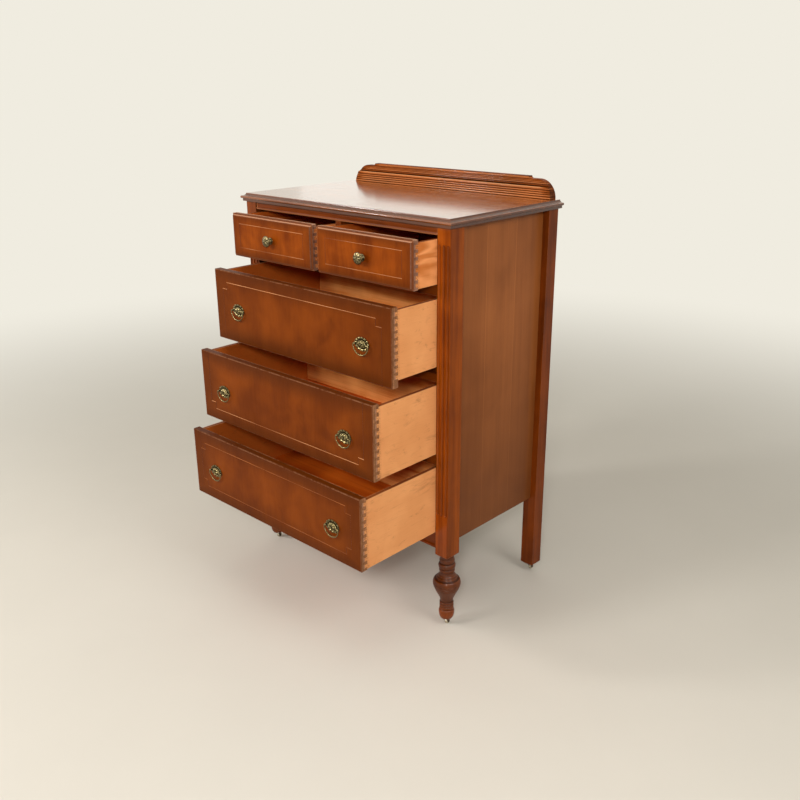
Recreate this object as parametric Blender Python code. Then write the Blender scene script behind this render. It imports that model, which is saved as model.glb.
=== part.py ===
"""Highboy: two small drawers over three wide ones, in a panelled case on turned legs and castors.

Sizes are in metres. In the case's own frame x runs across the front, y from the front to the back
and z up from the floor, with y = 0 halfway through the case. Every piece hangs on one root empty,
which puts the chest, with its drawers drawn out, centred over the origin.
"""
import math

import bmesh
import bpy
from mathutils import Matrix

# Fits
GAP = 0.0003
FRONT_GAP = 0.001
OVERSHOOT = 0.002
LAP_IN = 0.012

# Case: posts, panels and top
CASE_WIDTH = 0.840
CASE_DEPTH = 0.480
CASE_HEIGHT = 1.1926
POST_WIDTH = 0.046
FRONT_POST_DEPTH = 0.054
REAR_POST_DEPTH = 0.044
REAR_FOOT_CHAMFER = 0.009
POMMEL_ROUND = 0.006
PANEL_RECESS = 0.021
PANEL_THICKNESS = 0.010
PANEL_LIFT = 0.012
BACK_THICKNESS = 0.006
BACK_RECESS = 0.008
PANEL_GROOVE_DEPTH = 0.006
TOP_THICKNESS = 0.024
TOP_FRONT_OVERHANG = 0.015
TOP_SIDE_OVERHANG = 0.012
TOP_REAR_OVERHANG = 0.010
TOP_EDGE_WIDTH = 0.014
TOP_COVE_HEIGHT = 0.008
TOP_NOSE_RADIUS = 0.004
TOP_LIP_INSET = 0.006

# Flutes in the front posts
FLUTE_COUNT = 3
FLUTE_PITCH = 0.0150
FLUTE_WIDTH = 0.0096
FLUTE_DEPTH = 0.0036
FLUTE_TOP_MARGIN = 0.0446
FLUTE_BOTTOM_MARGIN = 0.112

# Gallery on the back of the top
GALLERY_INSET = 0.030
GALLERY_SHOULDER = 0.085
GALLERY_END_WIDTH = 0.053
GALLERY_END_HEIGHT = 0.055
GALLERY_STEP_HEIGHT = 0.0065
GALLERY_REBATE = 0.0025
GALLERY_FACE_DEPTH = 0.017
GALLERY_COVE_DEPTH = 0.006
GALLERY_BEAD_HEIGHT = 0.0085
GALLERY_BEAD_BULGE = 0.003
GALLERY_COVE_HEIGHT = 0.008
BASE_REEDS = 4
BASE_REED_HEIGHT = 0.0062
BASE_REED_BULGE = 0.0018
BASE_REED_STEP = 0.0012
FINE_REEDS = 3
FINE_REED_HEIGHT = 0.0040
FINE_REED_BULGE = 0.0012
GALLERY_CREST_BULGE = 0.0028

# Heights of rails and drawer fronts, from the floor up
FRONT_ROWS = 4
RAIL_BOTTOM = 0.260
BOTTOM_RAIL_HEIGHT = 0.048
LOWER_RAIL_HEIGHT = 0.029
MIDDLE_RAIL_HEIGHT = 0.023
UPPER_RAIL_HEIGHT = 0.027
TOP_RAIL_HEIGHT = 0.0226
SMALL_FRONT_HEIGHT = 0.130
UPPER_LIP = 0.017
RAIL_SETBACK = 0.002
RAIL_BEAD_HEIGHT = 0.008
RAIL_BEAD_DEPTH = 0.004
RAIL_COVE_HEIGHT = 0.010

# Runners inside the case
RUNNER_WIDTH = 0.036
RUNNER_THICKNESS = 0.020
GUIDE_HEIGHT = 0.014
GUIDE_FOOT = 0.010
BACK_RAIL_DEPTH = 0.040
DUST_PANEL_THICKNESS = 0.006

# Drawers
DIVIDER_WIDTH = 0.020
FRONT_THICKNESS = 0.022
SMALL_FRONT_ROUND = 0.006
WIDE_FRONT_ROUND = 0.0015
DRAWER_LENGTH = 0.430
SIDE_THICKNESS = 0.012
SIDE_TOP_DROP = 0.008
SIDE_RISE = 0.003
BACK_BOARD_THICKNESS = 0.012
BACK_BOARD_INSET = 0.006
BACK_BOARD_DROP = 0.006
BOTTOM_THICKNESS = 0.006
BOTTOM_LIFT = 0.010
BOTTOM_GROOVE_DEPTH = 0.005
TAIL_LENGTH = 0.013
TAIL_WIDTH = 0.0096
TAIL_FLARE = 0.0014
WIDE_TAILS = 10
SMALL_TAILS = 6
SMALL_OPEN = 0.095
UPPER_OPEN = 0.172
MIDDLE_OPEN = 0.245
LOWER_OPEN = 0.298

# Pulls
PULL_INSET = 0.108
PULL_DROP = 0.006
ROSETTE_HALF_WIDTH = 0.0270
ROSETTE_HALF_HEIGHT = 0.0195
ROSETTE_RIM = 0.0014
ROSETTE_DOME_HALF_HEIGHT = 0.0125
ROSETTE_DOME_RISE = 0.0085
ROSETTE_PETALS = 8
PETAL_RELIEF = 0.0011
ROSETTE_SEGMENTS = 24
EAR_RADIUS = 0.0036
EAR_REACH = 0.0065
EAR_SPREAD = 0.0450
BAIL_WIRE_RADIUS = 0.0014
BAIL_HOLE_CLEARANCE = 0.0005
BAIL_WIDTH = 0.0560
BAIL_DROP = 0.0290
KNOB_HEAD_RADIUS = 0.0165
KNOB_HEAD_DEPTH = 0.010
KNOB_STEM_RADIUS = 0.0055
KNOB_STEM_LENGTH = 0.009
KNOB_BASE_RADIUS = 0.0105
KNOB_BASE_DEPTH = 0.002

# Castors
WHEEL_RADIUS = 0.009
WHEEL_WIDTH = 0.008
WHEEL_ROUND = 0.0015
WHEEL_SEGMENTS = 18
WHEEL_CLEARANCE = 0.0018
AXLE_RADIUS = 0.0020
CHEEK_THICKNESS = 0.0020
CHEEK_GAP = 0.0007
CASTOR_TRAIL = 0.0045
HORN_PLATE_RADIUS = 0.0095
HORN_PLATE_THICKNESS = 0.0025
PINTLE_RADIUS = 0.0035
PINTLE_LENGTH = 0.028

# Turned legs, from the castor up
FOOT_HEIGHT = 0.0345
FOOT_RISE = 0.0260
FOOT_RADIUS = 0.0235
FOOT_BASE_RADIUS = 0.0125
ANKLE_RINGS = 3
ANKLE_RING_HEIGHT = 0.0085
ANKLE_RADIUS = 0.0185
ANKLE_BULGE = 0.0028
TAPER_HEIGHT = 0.0640
TAPER_STEPS = 6
TAPER_EASE = 0.75
BULB_RADIUS = 0.0415
SHOULDER_HEIGHT = 0.0160
SHOULDER_RADIUS = 0.0335
FLARE_HEIGHT = 0.0200
NECK_RADIUS = 0.0205
COLLAR_HEIGHT = 0.0120
COLLAR_BULGE = 0.0030
NECK_BEAD_HEIGHT = 0.0180
NECK_BEAD_BULGE = 0.0050
NECK_RING_HEIGHT = 0.0140
NECK_RING_BULGE = 0.0020
POMMEL_HEIGHT = 0.0110
SCORE_DEPTH = 0.0010
SCORE_HEIGHT = 0.0024
LEG_SEGMENTS = 16

# Places worked out from the sizes above
FRONT_Y = -CASE_DEPTH / 2
REAR_Y = CASE_DEPTH / 2
POST_INNER_X = CASE_WIDTH / 2 - POST_WIDTH
FRONT_POST_REAR_Y = FRONT_Y + FRONT_POST_DEPTH
REAR_POST_FRONT_Y = REAR_Y - REAR_POST_DEPTH
PANEL_OUTER_X = CASE_WIDTH / 2 - PANEL_RECESS
PANEL_INNER_X = PANEL_OUTER_X - PANEL_THICKNESS
PANEL_BOTTOM = RAIL_BOTTOM + PANEL_LIFT
RAIL_HEIGHTS = sum((BOTTOM_RAIL_HEIGHT, LOWER_RAIL_HEIGHT, MIDDLE_RAIL_HEIGHT, UPPER_RAIL_HEIGHT,
                    TOP_RAIL_HEIGHT))
FRONT_HEIGHTS = CASE_HEIGHT - RAIL_BOTTOM - RAIL_HEIGHTS - 2 * FRONT_ROWS * FRONT_GAP
WIDE_FRONT_HEIGHT = (FRONT_HEIGHTS - SMALL_FRONT_HEIGHT) / (FRONT_ROWS - 1)
LOWER_FRONT_Z = RAIL_BOTTOM + BOTTOM_RAIL_HEIGHT + FRONT_GAP
LOWER_RAIL_Z = LOWER_FRONT_Z + WIDE_FRONT_HEIGHT + FRONT_GAP
MIDDLE_FRONT_Z = LOWER_RAIL_Z + LOWER_RAIL_HEIGHT + FRONT_GAP
MIDDLE_RAIL_Z = MIDDLE_FRONT_Z + WIDE_FRONT_HEIGHT + FRONT_GAP
UPPER_FRONT_Z = MIDDLE_RAIL_Z + MIDDLE_RAIL_HEIGHT + FRONT_GAP
UPPER_RAIL_Z = UPPER_FRONT_Z + WIDE_FRONT_HEIGHT + FRONT_GAP
SMALL_FRONT_Z = UPPER_RAIL_Z + UPPER_RAIL_HEIGHT + FRONT_GAP
TOP_RAIL_Z = SMALL_FRONT_Z + SMALL_FRONT_HEIGHT + FRONT_GAP
TOP_SURFACE = CASE_HEIGHT + GAP + TOP_THICKNESS
AXLE_Z = WHEEL_RADIUS * math.cos(math.pi / WHEEL_SEGMENTS)
HORN_PLATE_Z = AXLE_Z + WHEEL_RADIUS + WHEEL_CLEARANCE
LEG_BASE = HORN_PLATE_Z + HORN_PLATE_THICKNESS + GAP
LEG_X = CASE_WIDTH / 2 - POST_WIDTH / 2
FRONT_LEG_Y = FRONT_Y + FRONT_POST_DEPTH / 2
REAR_LEG_Y = REAR_Y - REAR_POST_DEPTH / 2
BORE_RADIUS = PINTLE_RADIUS + GAP
BORE_DEPTH = PINTLE_LENGTH + GAP
KNOB_DEPTH = GAP + KNOB_BASE_DEPTH + KNOB_STEM_LENGTH + KNOB_HEAD_DEPTH
ROSETTE_DEPTH = GAP + ROSETTE_RIM + ROSETTE_DOME_RISE
FOREMOST_Y = min(FRONT_Y - LOWER_OPEN - ROSETTE_DEPTH, FRONT_Y - SMALL_OPEN - KNOB_DEPTH)
ROOT_Y = -(FOREMOST_Y + REAR_Y + TOP_REAR_OVERHANG) / 2
X_AXIS, Y_AXIS, Z_AXIS = range(3)
SIDES = (("left", -1), ("right", 1))


def principled(name, colour, roughness, metallic=0.0):
    """Returns a plain material of one colour."""
    material = bpy.data.materials.new(name)
    material.use_nodes = True
    shader = material.node_tree.nodes["Principled BSDF"]
    shader.inputs["Base Color"].default_value = (*colour, 1.0)
    shader.inputs["Roughness"].default_value = roughness
    shader.inputs["Metallic"].default_value = metallic
    return material


def empty(name, parent=None, location=(0.0, 0.0, 0.0)):
    """Returns an empty that carries other objects."""
    holder = bpy.data.objects.new(name, None)
    bpy.context.collection.objects.link(holder)
    holder.parent = parent
    holder.location = location
    return holder


def solid(name, bm, material, parent, location=(0.0, 0.0, 0.0), smooth=None):
    """Turns a bmesh into a named object, shaded smooth below an angle in degrees if one is given."""
    bmesh.ops.recalc_face_normals(bm, faces=bm.faces)
    mesh = bpy.data.meshes.new(name)
    bm.to_mesh(mesh)
    bm.free()
    mesh.materials.append(material)
    if smooth is not None:
        mesh.shade_smooth()
        mesh.set_sharp_from_angle(angle=math.radians(smooth))
    obj = bpy.data.objects.new(name, mesh)
    bpy.context.collection.objects.link(obj)
    obj.parent = parent
    obj.location = location
    return obj


def combine(target, bm, operation):
    """Adds a Boolean to an object, with a bmesh in the object's own frame as the other operand."""
    tool = solid(target.name + "_" + operation.lower(), bm, target.data.materials[0], target.parent)
    tool.location = target.location
    tool.hide_render = True
    tool.display_type = "WIRE"
    modifier = target.modifiers.new(tool.name, "BOOLEAN")
    modifier.operation = operation
    modifier.solver = "EXACT"
    modifier.object = tool


def prism(outline, axis, start, end, bm=None):
    """Extrudes a flat outline along an axis; its points give the other two axes in order."""
    bm = bm or bmesh.new()
    flat = [other for other in range(3) if other != axis]
    rows = []
    for level in (start, end):
        row = []
        for point in outline:
            place = [level] * 3
            place[flat[0]] = point[0]
            place[flat[1]] = point[1]
            row.append(bm.verts.new(place))
        bm.faces.new(row)
        rows.append(row)
    low, high = rows
    for index in range(len(outline)):
        bm.faces.new((low[index - 1], low[index], high[index], high[index - 1]))
    return bm


def block(x_span, y_span, z_span, bm=None):
    """Makes a rectangular block between two limits on each axis."""
    outline = [(x_span[0], y_span[0]), (x_span[1], y_span[0])]
    outline += [(x_span[1], y_span[1]), (x_span[0], y_span[1])]
    return prism(outline, Z_AXIS, z_span[0], z_span[1], bm)


def mirrored(x_span, hand):
    """Returns an x span on the left (-1) or right (1) side of the case, low end first."""
    return sorted(hand * x for x in x_span)


def turned(profile, segments, ring=False):
    """Spins a profile of (radius, height) points about z; a ring's profile closes on itself."""
    bm = bmesh.new()
    verts = [bm.verts.new((radius, 0.0, height)) for radius, height in profile]
    edges = [bm.edges.new(pair) for pair in zip(verts, verts[1:])]
    if ring:
        edges.append(bm.edges.new((verts[-1], verts[0])))
    bmesh.ops.spin(bm, geom=verts + edges, axis=(0, 0, 1), cent=(0, 0, 0), dvec=(0, 0, 0),
                   angle=2 * math.pi, steps=segments, use_merge=True)
    bmesh.ops.remove_doubles(bm, verts=bm.verts, dist=1e-6)
    return bm


def arc(centre, radii, start, end, steps):
    """Returns points along an elliptical arc, with its angles in degrees."""
    points = []
    for step in range(steps + 1):
        angle = math.radians(start + (end - start) * step / steps)
        points.append((centre[0] + radii[0] * math.cos(angle), centre[1] + radii[1] * math.sin(angle)))
    return points


def bead(base, bulge, low, height, steps):
    """Returns a half-round bead on a vertical face, from its top down."""
    return arc((base, low + height / 2), (bulge, height / 2), 90, -90, steps)


def clear_scene():
    """Removes every object from the scene."""
    for obj in list(bpy.data.objects):
        bpy.data.objects.remove(obj)


def leg_profile():
    """Returns a turned leg's outline from its top, inside the square post, down to the castor's bore."""
    ankle_z = LEG_BASE + FOOT_HEIGHT
    waist_z = ankle_z + ANKLE_RINGS * ANKLE_RING_HEIGHT
    bulb_z = waist_z + TAPER_HEIGHT
    shoulder_z = bulb_z + SHOULDER_HEIGHT
    collar_z = shoulder_z + FLARE_HEIGHT
    neck_bead_z = collar_z + COLLAR_HEIGHT
    neck_ring_z = neck_bead_z + NECK_BEAD_HEIGHT
    pommel_z = neck_ring_z + NECK_RING_HEIGHT
    points = [(0.0, SQUARE_BOTTOM + LAP_IN), (NECK_RADIUS, SQUARE_BOTTOM + LAP_IN)]
    points += bead(NECK_RADIUS, NECK_RING_BULGE, neck_ring_z, NECK_RING_HEIGHT, 3)
    points += bead(NECK_RADIUS, NECK_BEAD_BULGE, neck_bead_z, NECK_BEAD_HEIGHT, 5)[1:]
    points += bead(NECK_RADIUS, COLLAR_BULGE, collar_z, COLLAR_HEIGHT, 3)[1:]
    flare = (SHOULDER_RADIUS - NECK_RADIUS, FLARE_HEIGHT)
    points += arc((SHOULDER_RADIUS, collar_z), flare, 180, 270, 3)[1:]
    points.append((SHOULDER_RADIUS - SCORE_DEPTH, shoulder_z - SCORE_HEIGHT / 2))
    points.append((SHOULDER_RADIUS + SCORE_DEPTH, shoulder_z - SCORE_HEIGHT))
    crown = (BULB_RADIUS - SHOULDER_RADIUS - SCORE_DEPTH, SHOULDER_HEIGHT - SCORE_HEIGHT)
    points += arc((SHOULDER_RADIUS + SCORE_DEPTH, bulb_z), crown, 90, 0, 3)[1:]
    points.append((BULB_RADIUS - SCORE_DEPTH, bulb_z - SCORE_HEIGHT / 2))
    points.append((BULB_RADIUS, bulb_z - SCORE_HEIGHT))
    for step in reversed(range(TAPER_STEPS)):
        share = step / TAPER_STEPS
        growth = TAPER_EASE * share * share * (3 - 2 * share) + (1 - TAPER_EASE) * share
        radius = ANKLE_RADIUS + (BULB_RADIUS - ANKLE_RADIUS) * growth
        points.append((radius, waist_z + share * (TAPER_HEIGHT - SCORE_HEIGHT)))
    for ring in reversed(range(ANKLE_RINGS)):
        ring_z = ankle_z + ring * ANKLE_RING_HEIGHT
        points += bead(ANKLE_RADIUS, ANKLE_BULGE, ring_z, ANKLE_RING_HEIGHT, 3)[1:]
    foot_z = LEG_BASE + FOOT_RISE
    instep = (FOOT_RADIUS - ANKLE_RADIUS, FOOT_HEIGHT - FOOT_RISE)
    points += arc((ANKLE_RADIUS, foot_z), instep, 90, 0, 2)[1:]
    points += arc((FOOT_BASE_RADIUS, foot_z), (FOOT_RADIUS - FOOT_BASE_RADIUS, FOOT_RISE), 0, -90, 3)[1:]
    points += [(BORE_RADIUS, LEG_BASE), (BORE_RADIUS, LEG_BASE + BORE_DEPTH), (0.0, LEG_BASE + BORE_DEPTH)]
    return points


LEG_HEIGHTS = (FOOT_HEIGHT, ANKLE_RINGS * ANKLE_RING_HEIGHT, TAPER_HEIGHT, SHOULDER_HEIGHT, FLARE_HEIGHT,
               COLLAR_HEIGHT, NECK_BEAD_HEIGHT, NECK_RING_HEIGHT, POMMEL_HEIGHT)
SQUARE_BOTTOM = LEG_BASE + sum(LEG_HEIGHTS)


def panel_grooves(hand, bm=None):
    """Makes a cutter for the grooves that hold a side panel, along both of its upright edges."""
    x_span = mirrored((PANEL_INNER_X - GAP, PANEL_OUTER_X + GAP), hand)
    y_span = (FRONT_POST_REAR_Y - PANEL_GROOVE_DEPTH, REAR_POST_FRONT_Y + PANEL_GROOVE_DEPTH)
    return block(x_span, y_span, (PANEL_BOTTOM - GAP, CASE_HEIGHT + OVERSHOOT), bm)


def back_groove(bm=None):
    """Makes a cutter for the grooves that hold the back panel."""
    reach = POST_INNER_X + PANEL_GROOVE_DEPTH
    y_span = (REAR_Y - BACK_RECESS - BACK_THICKNESS - GAP, REAR_Y - BACK_RECESS + GAP)
    return block((-reach, reach), y_span, (PANEL_BOTTOM - GAP, CASE_HEIGHT + OVERSHOOT), bm)


def flutes(hand):
    """Makes a cutter of round-ended rods for the stopped flutes down a front post's face."""
    radius = (FLUTE_WIDTH ** 2 / 4 + FLUTE_DEPTH ** 2) / (2 * FLUTE_DEPTH)
    rod = [*arc((0.0, CASE_HEIGHT - FLUTE_TOP_MARGIN - radius), (radius, radius), 90, 0, 3)]
    rod += arc((0.0, RAIL_BOTTOM + FLUTE_BOTTOM_MARGIN + radius), (radius, radius), 0, -90, 3)
    cutter = bmesh.new()
    for index in range(FLUTE_COUNT):
        x = hand * LEG_X + (index - (FLUTE_COUNT - 1) / 2) * FLUTE_PITCH
        one = turned(rod, 12)
        one.transform(Matrix.Translation((x, FRONT_Y - radius + FLUTE_DEPTH, 0.0)))
        piece = bpy.data.meshes.new("flute")
        one.to_mesh(piece)
        one.free()
        cutter.from_mesh(piece)
        bpy.data.meshes.remove(piece)
    return cutter


def front_post(name, hand, material, parent):
    """Adds a front post: a fluted square post that turns into a leg below the case."""
    x_span = mirrored((POST_INNER_X, CASE_WIDTH / 2), hand)
    bm = block(x_span, (FRONT_Y, FRONT_POST_REAR_Y), (SQUARE_BOTTOM, CASE_HEIGHT))
    foot_edges = [e for e in bm.edges if all(v.co.z < RAIL_BOTTOM for v in e.verts)]
    bmesh.ops.bevel(bm, geom=foot_edges, offset=POMMEL_ROUND, segments=2, affect="EDGES")
    post = solid(name, bm, material, parent, smooth=30)
    leg = turned(leg_profile(), LEG_SEGMENTS)
    leg.transform(Matrix.Translation((hand * LEG_X, FRONT_LEG_Y, 0.0)))
    combine(post, leg, "UNION")
    combine(post, flutes(hand), "DIFFERENCE")
    combine(post, panel_grooves(hand), "DIFFERENCE")


def rear_post(name, hand, material, parent):
    """Adds a rear post: plain and square to the floor, chamfered at its foot and bored for a castor."""
    x_span = mirrored((POST_INNER_X, CASE_WIDTH / 2), hand)
    bm = block(x_span, (REAR_POST_FRONT_Y, REAR_Y), (LEG_BASE, CASE_HEIGHT))
    foot_edges = [e for e in bm.edges if all(v.co.z < RAIL_BOTTOM for v in e.verts)]
    bmesh.ops.bevel(bm, geom=foot_edges, offset=REAR_FOOT_CHAMFER, segments=1, affect="EDGES")
    post = solid(name, bm, material, parent)
    profile = [(0.0, LEG_BASE + BORE_DEPTH), (BORE_RADIUS, LEG_BASE + BORE_DEPTH)]
    profile += [(BORE_RADIUS, LEG_BASE - OVERSHOOT), (0.0, LEG_BASE - OVERSHOOT)]
    bore = turned(profile, 12)
    bore.transform(Matrix.Translation((hand * LEG_X, REAR_LEG_Y, 0.0)))
    combine(post, bore, "DIFFERENCE")
    combine(post, panel_grooves(hand), "DIFFERENCE")
    combine(post, back_groove(), "DIFFERENCE")


def top_edge():
    """Returns the top board's edge as (inset from the nose, height above the underside), top first."""
    nose_z = TOP_THICKNESS - TOP_COVE_HEIGHT - TOP_NOSE_RADIUS
    cove = (TOP_EDGE_WIDTH - TOP_NOSE_RADIUS, TOP_COVE_HEIGHT)
    points = arc((TOP_NOSE_RADIUS, TOP_THICKNESS), cove, 0, -90, 4)
    points += arc((TOP_NOSE_RADIUS, nose_z), (TOP_NOSE_RADIUS, TOP_NOSE_RADIUS), 90, 270, 6)[1:]
    points += [(TOP_LIP_INSET, nose_z - TOP_NOSE_RADIUS), (TOP_LIP_INSET, 0.0)]
    return points


def reed(y, bulge, low, height, steps):
    """Returns a half-round reed on a face that looks to the front, from its bottom up."""
    return arc((y, low + height / 2), (bulge, height / 2), 270, 90, steps)


def gallery_half():
    """Returns half the gallery's length."""
    return CASE_WIDTH / 2 + TOP_SIDE_OVERHANG - GALLERY_INSET


def gallery_foot_y():
    """Returns how far to the front the gallery's lowest reed comes."""
    bead_y = REAR_Y + TOP_REAR_OVERHANG - GALLERY_FACE_DEPTH - GALLERY_COVE_DEPTH
    return bead_y - BASE_REEDS * BASE_REED_STEP - BASE_REED_BULGE


def top_board(material, parent):
    """Adds the top: a board moulded along its front and sides, with a shallow rebate for the gallery."""
    bm = bmesh.new()
    rear = REAR_Y + TOP_REAR_OVERHANG
    rings = []
    for inset, height in top_edge():
        x = CASE_WIDTH / 2 + TOP_SIDE_OVERHANG - inset
        front = FRONT_Y - TOP_FRONT_OVERHANG + inset
        z = CASE_HEIGHT + GAP + height
        rings.append([bm.verts.new(p) for p in ((-x, rear, z), (-x, front, z), (x, front, z), (x, rear, z))])
    bm.faces.new(rings[0])
    bm.faces.new(rings[-1])
    for upper, lower in zip(rings, rings[1:]):
        for corner in range(1, 4):
            bm.faces.new((upper[corner - 1], upper[corner], lower[corner], lower[corner - 1]))
    bm.faces.new([ring[0] for ring in rings] + [ring[-1] for ring in reversed(rings)])
    board = solid("top_board", bm, material, parent, smooth=30)
    reach = gallery_half() + GAP
    z_span = (TOP_SURFACE - GALLERY_REBATE, TOP_SURFACE + OVERSHOOT)
    combine(board, block((-reach, reach), (gallery_foot_y() - GAP, rear + OVERSHOOT), z_span), "DIFFERENCE")


def gallery_section():
    """Returns the gallery's section as (y, z) points: reeds, a bead, a cove, fine reeds and a crest."""
    rear = REAR_Y + TOP_REAR_OVERHANG
    face_y = rear - GALLERY_FACE_DEPTH
    bead_y = face_y - GALLERY_COVE_DEPTH
    foot = TOP_SURFACE - GALLERY_REBATE + GAP
    points = [(rear, foot), (bead_y - BASE_REEDS * BASE_REED_STEP, foot)]
    level = TOP_SURFACE
    for index in range(BASE_REEDS):
        reed_y = bead_y - (BASE_REEDS - index) * BASE_REED_STEP
        points += reed(reed_y, BASE_REED_BULGE, level, BASE_REED_HEIGHT, 4)
        level += BASE_REED_HEIGHT
    points += reed(bead_y, GALLERY_BEAD_BULGE, level, GALLERY_BEAD_HEIGHT, 5)
    level += GALLERY_BEAD_HEIGHT
    cove = (GALLERY_COVE_DEPTH, GALLERY_COVE_HEIGHT)
    points += arc((bead_y, level + GALLERY_COVE_HEIGHT), cove, 270, 360, 4)[1:]
    level += GALLERY_COVE_HEIGHT
    for _ in range(FINE_REEDS):
        points += reed(face_y, FINE_REED_BULGE, level, FINE_REED_HEIGHT, 3)[1:]
        level += FINE_REED_HEIGHT
    head = TOP_SURFACE + GALLERY_END_HEIGHT + GALLERY_STEP_HEIGHT
    points += reed(face_y, GALLERY_CREST_BULGE, level, head - level, 5)[1:]
    points.append((rear, head))
    return points


def gallery(material, parent):
    """Adds the gallery: a board run with reeds along its face, then sawn to a stepped outline."""
    half = gallery_half()
    rear = REAR_Y + TOP_REAR_OVERHANG
    run = prism(gallery_section(), X_AXIS, -half - OVERSHOOT, half + OVERSHOOT)
    board = solid("gallery", run, material, parent, smooth=30)
    head = TOP_SURFACE + GALLERY_END_HEIGHT + GALLERY_STEP_HEIGHT
    rise = half - GALLERY_SHOULDER
    step = (GALLERY_STEP_HEIGHT, GALLERY_STEP_HEIGHT)
    right = [(half, TOP_SURFACE - GALLERY_REBATE - OVERSHOOT)]
    right += arc((half - GALLERY_END_WIDTH, TOP_SURFACE), (GALLERY_END_WIDTH, GALLERY_END_HEIGHT), 0, 90, 7)
    right += arc((rise + GALLERY_STEP_HEIGHT, head), step, 270, 180, 3)
    right.append((rise, head + OVERSHOOT))
    shape = right + [(-x, z) for x, z in reversed(right)]
    combine(board, prism(shape, Y_AXIS, gallery_foot_y() - OVERSHOOT, rear + OVERSHOOT), "INTERSECT")


def plain_rail(low, height):
    """Returns a rail's section from front to back, as (y, z) points."""
    face = FRONT_Y
    return [(face, low), (FRONT_POST_REAR_Y, low), (FRONT_POST_REAR_Y, low + height), (face, low + height)]


def moulded_rail(low, height):
    """Returns the bottom rail's section: a flat face over a cove and a bead along its lower edge."""
    face = FRONT_Y + RAIL_SETBACK + RAIL_BEAD_DEPTH
    cove_z = low + RAIL_BEAD_HEIGHT
    points = [(FRONT_POST_REAR_Y, low), (FRONT_POST_REAR_Y, low + height), (face, low + height)]
    cove = (RAIL_BEAD_DEPTH, RAIL_COVE_HEIGHT)
    points += arc((face - RAIL_BEAD_DEPTH, cove_z + RAIL_COVE_HEIGHT), cove, 0, -90, 4)
    points += bead(face - RAIL_BEAD_DEPTH, -RAIL_BEAD_DEPTH / 2, low, RAIL_BEAD_HEIGHT, 4)[1:]
    return points


def beaded_rail(low, height):
    """Returns the top rail's section: set back a little, with a bead along its lower edge."""
    face = FRONT_Y + RAIL_SETBACK + RAIL_BEAD_DEPTH / 2
    points = [(FRONT_POST_REAR_Y, low), (FRONT_POST_REAR_Y, low + height), (face, low + height)]
    points.append((face, low + RAIL_BEAD_HEIGHT))
    points += bead(face, -RAIL_BEAD_DEPTH / 2, low, RAIL_BEAD_HEIGHT, 4)[1:]
    return points


def lipped_rail(low, height, runner_top):
    """Returns the middle rail's section, rabbeted so that the drawer front above laps its upper part."""
    back_face = FRONT_Y + FRONT_THICKNESS + FRONT_GAP
    return [(FRONT_Y, low), (FRONT_POST_REAR_Y, low), (FRONT_POST_REAR_Y, runner_top),
            (back_face, runner_top), (back_face, low + height), (FRONT_Y, low + height)]


def drawer_frame(name, section, runner_top, centre, material, parent):
    """Adds a drawer frame: a front rail with side runners and guides, a back rail and a dust panel."""
    rail_half = POST_INNER_X - GAP
    frame = solid(name, prism(section, X_AXIS, -rail_half, rail_half), material, parent)
    front = FRONT_POST_REAR_Y - LAP_IN
    rear = REAR_POST_FRONT_Y - GAP
    runner_z = (runner_top - RUNNER_THICKNESS, runner_top)
    inner_x = POST_INNER_X - RUNNER_WIDTH
    runners = bmesh.new()
    guides = bmesh.new()
    for _, hand in SIDES:
        block(mirrored((inner_x, POST_INNER_X - FRONT_GAP), hand), (front, rear), runner_z, runners)
        foot_x = POST_INNER_X - GUIDE_FOOT
        low = runner_z[0] + GAP
        step = runner_top - RUNNER_THICKNESS / 4
        right = [(foot_x, low), (PANEL_INNER_X - GAP, low), (PANEL_INNER_X - GAP, runner_top + GUIDE_HEIGHT),
                 (POST_INNER_X, runner_top + GUIDE_HEIGHT), (POST_INNER_X, step), (foot_x, step)]
        outline = [(hand * x, z) for x, z in right]
        prism(outline, Y_AXIS, FRONT_POST_REAR_Y + GAP, rear - GAP, guides)
    if centre:
        block((-RUNNER_WIDTH, RUNNER_WIDTH), (front, rear), runner_z, runners)
        half = DIVIDER_WIDTH / 2
        guide_z = (runner_z[0] + RUNNER_THICKNESS / 4, runner_top + GUIDE_HEIGHT)
        block((-half, half), (front + GAP, rear - GAP), guide_z, guides)
    combine(frame, runners, "UNION")
    combine(frame, guides, "UNION")
    web_x = inner_x + LAP_IN
    rail_z = (runner_z[0] + 2 * GAP, runner_z[1] - 2 * GAP)
    back_rail = block((-web_x, web_x), (rear - BACK_RAIL_DEPTH, rear - 2 * GAP), rail_z)
    combine(frame, back_rail, "UNION")
    panel_z = (runner_top - RUNNER_THICKNESS / 2 - DUST_PANEL_THICKNESS / 2,
               runner_top - RUNNER_THICKNESS / 2 + DUST_PANEL_THICKNESS / 2)
    dust_panel = block((GAP - web_x, web_x - GAP), (front + GAP, rear - BACK_RAIL_DEPTH + LAP_IN), panel_z)
    combine(frame, dust_panel, "UNION")


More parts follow.
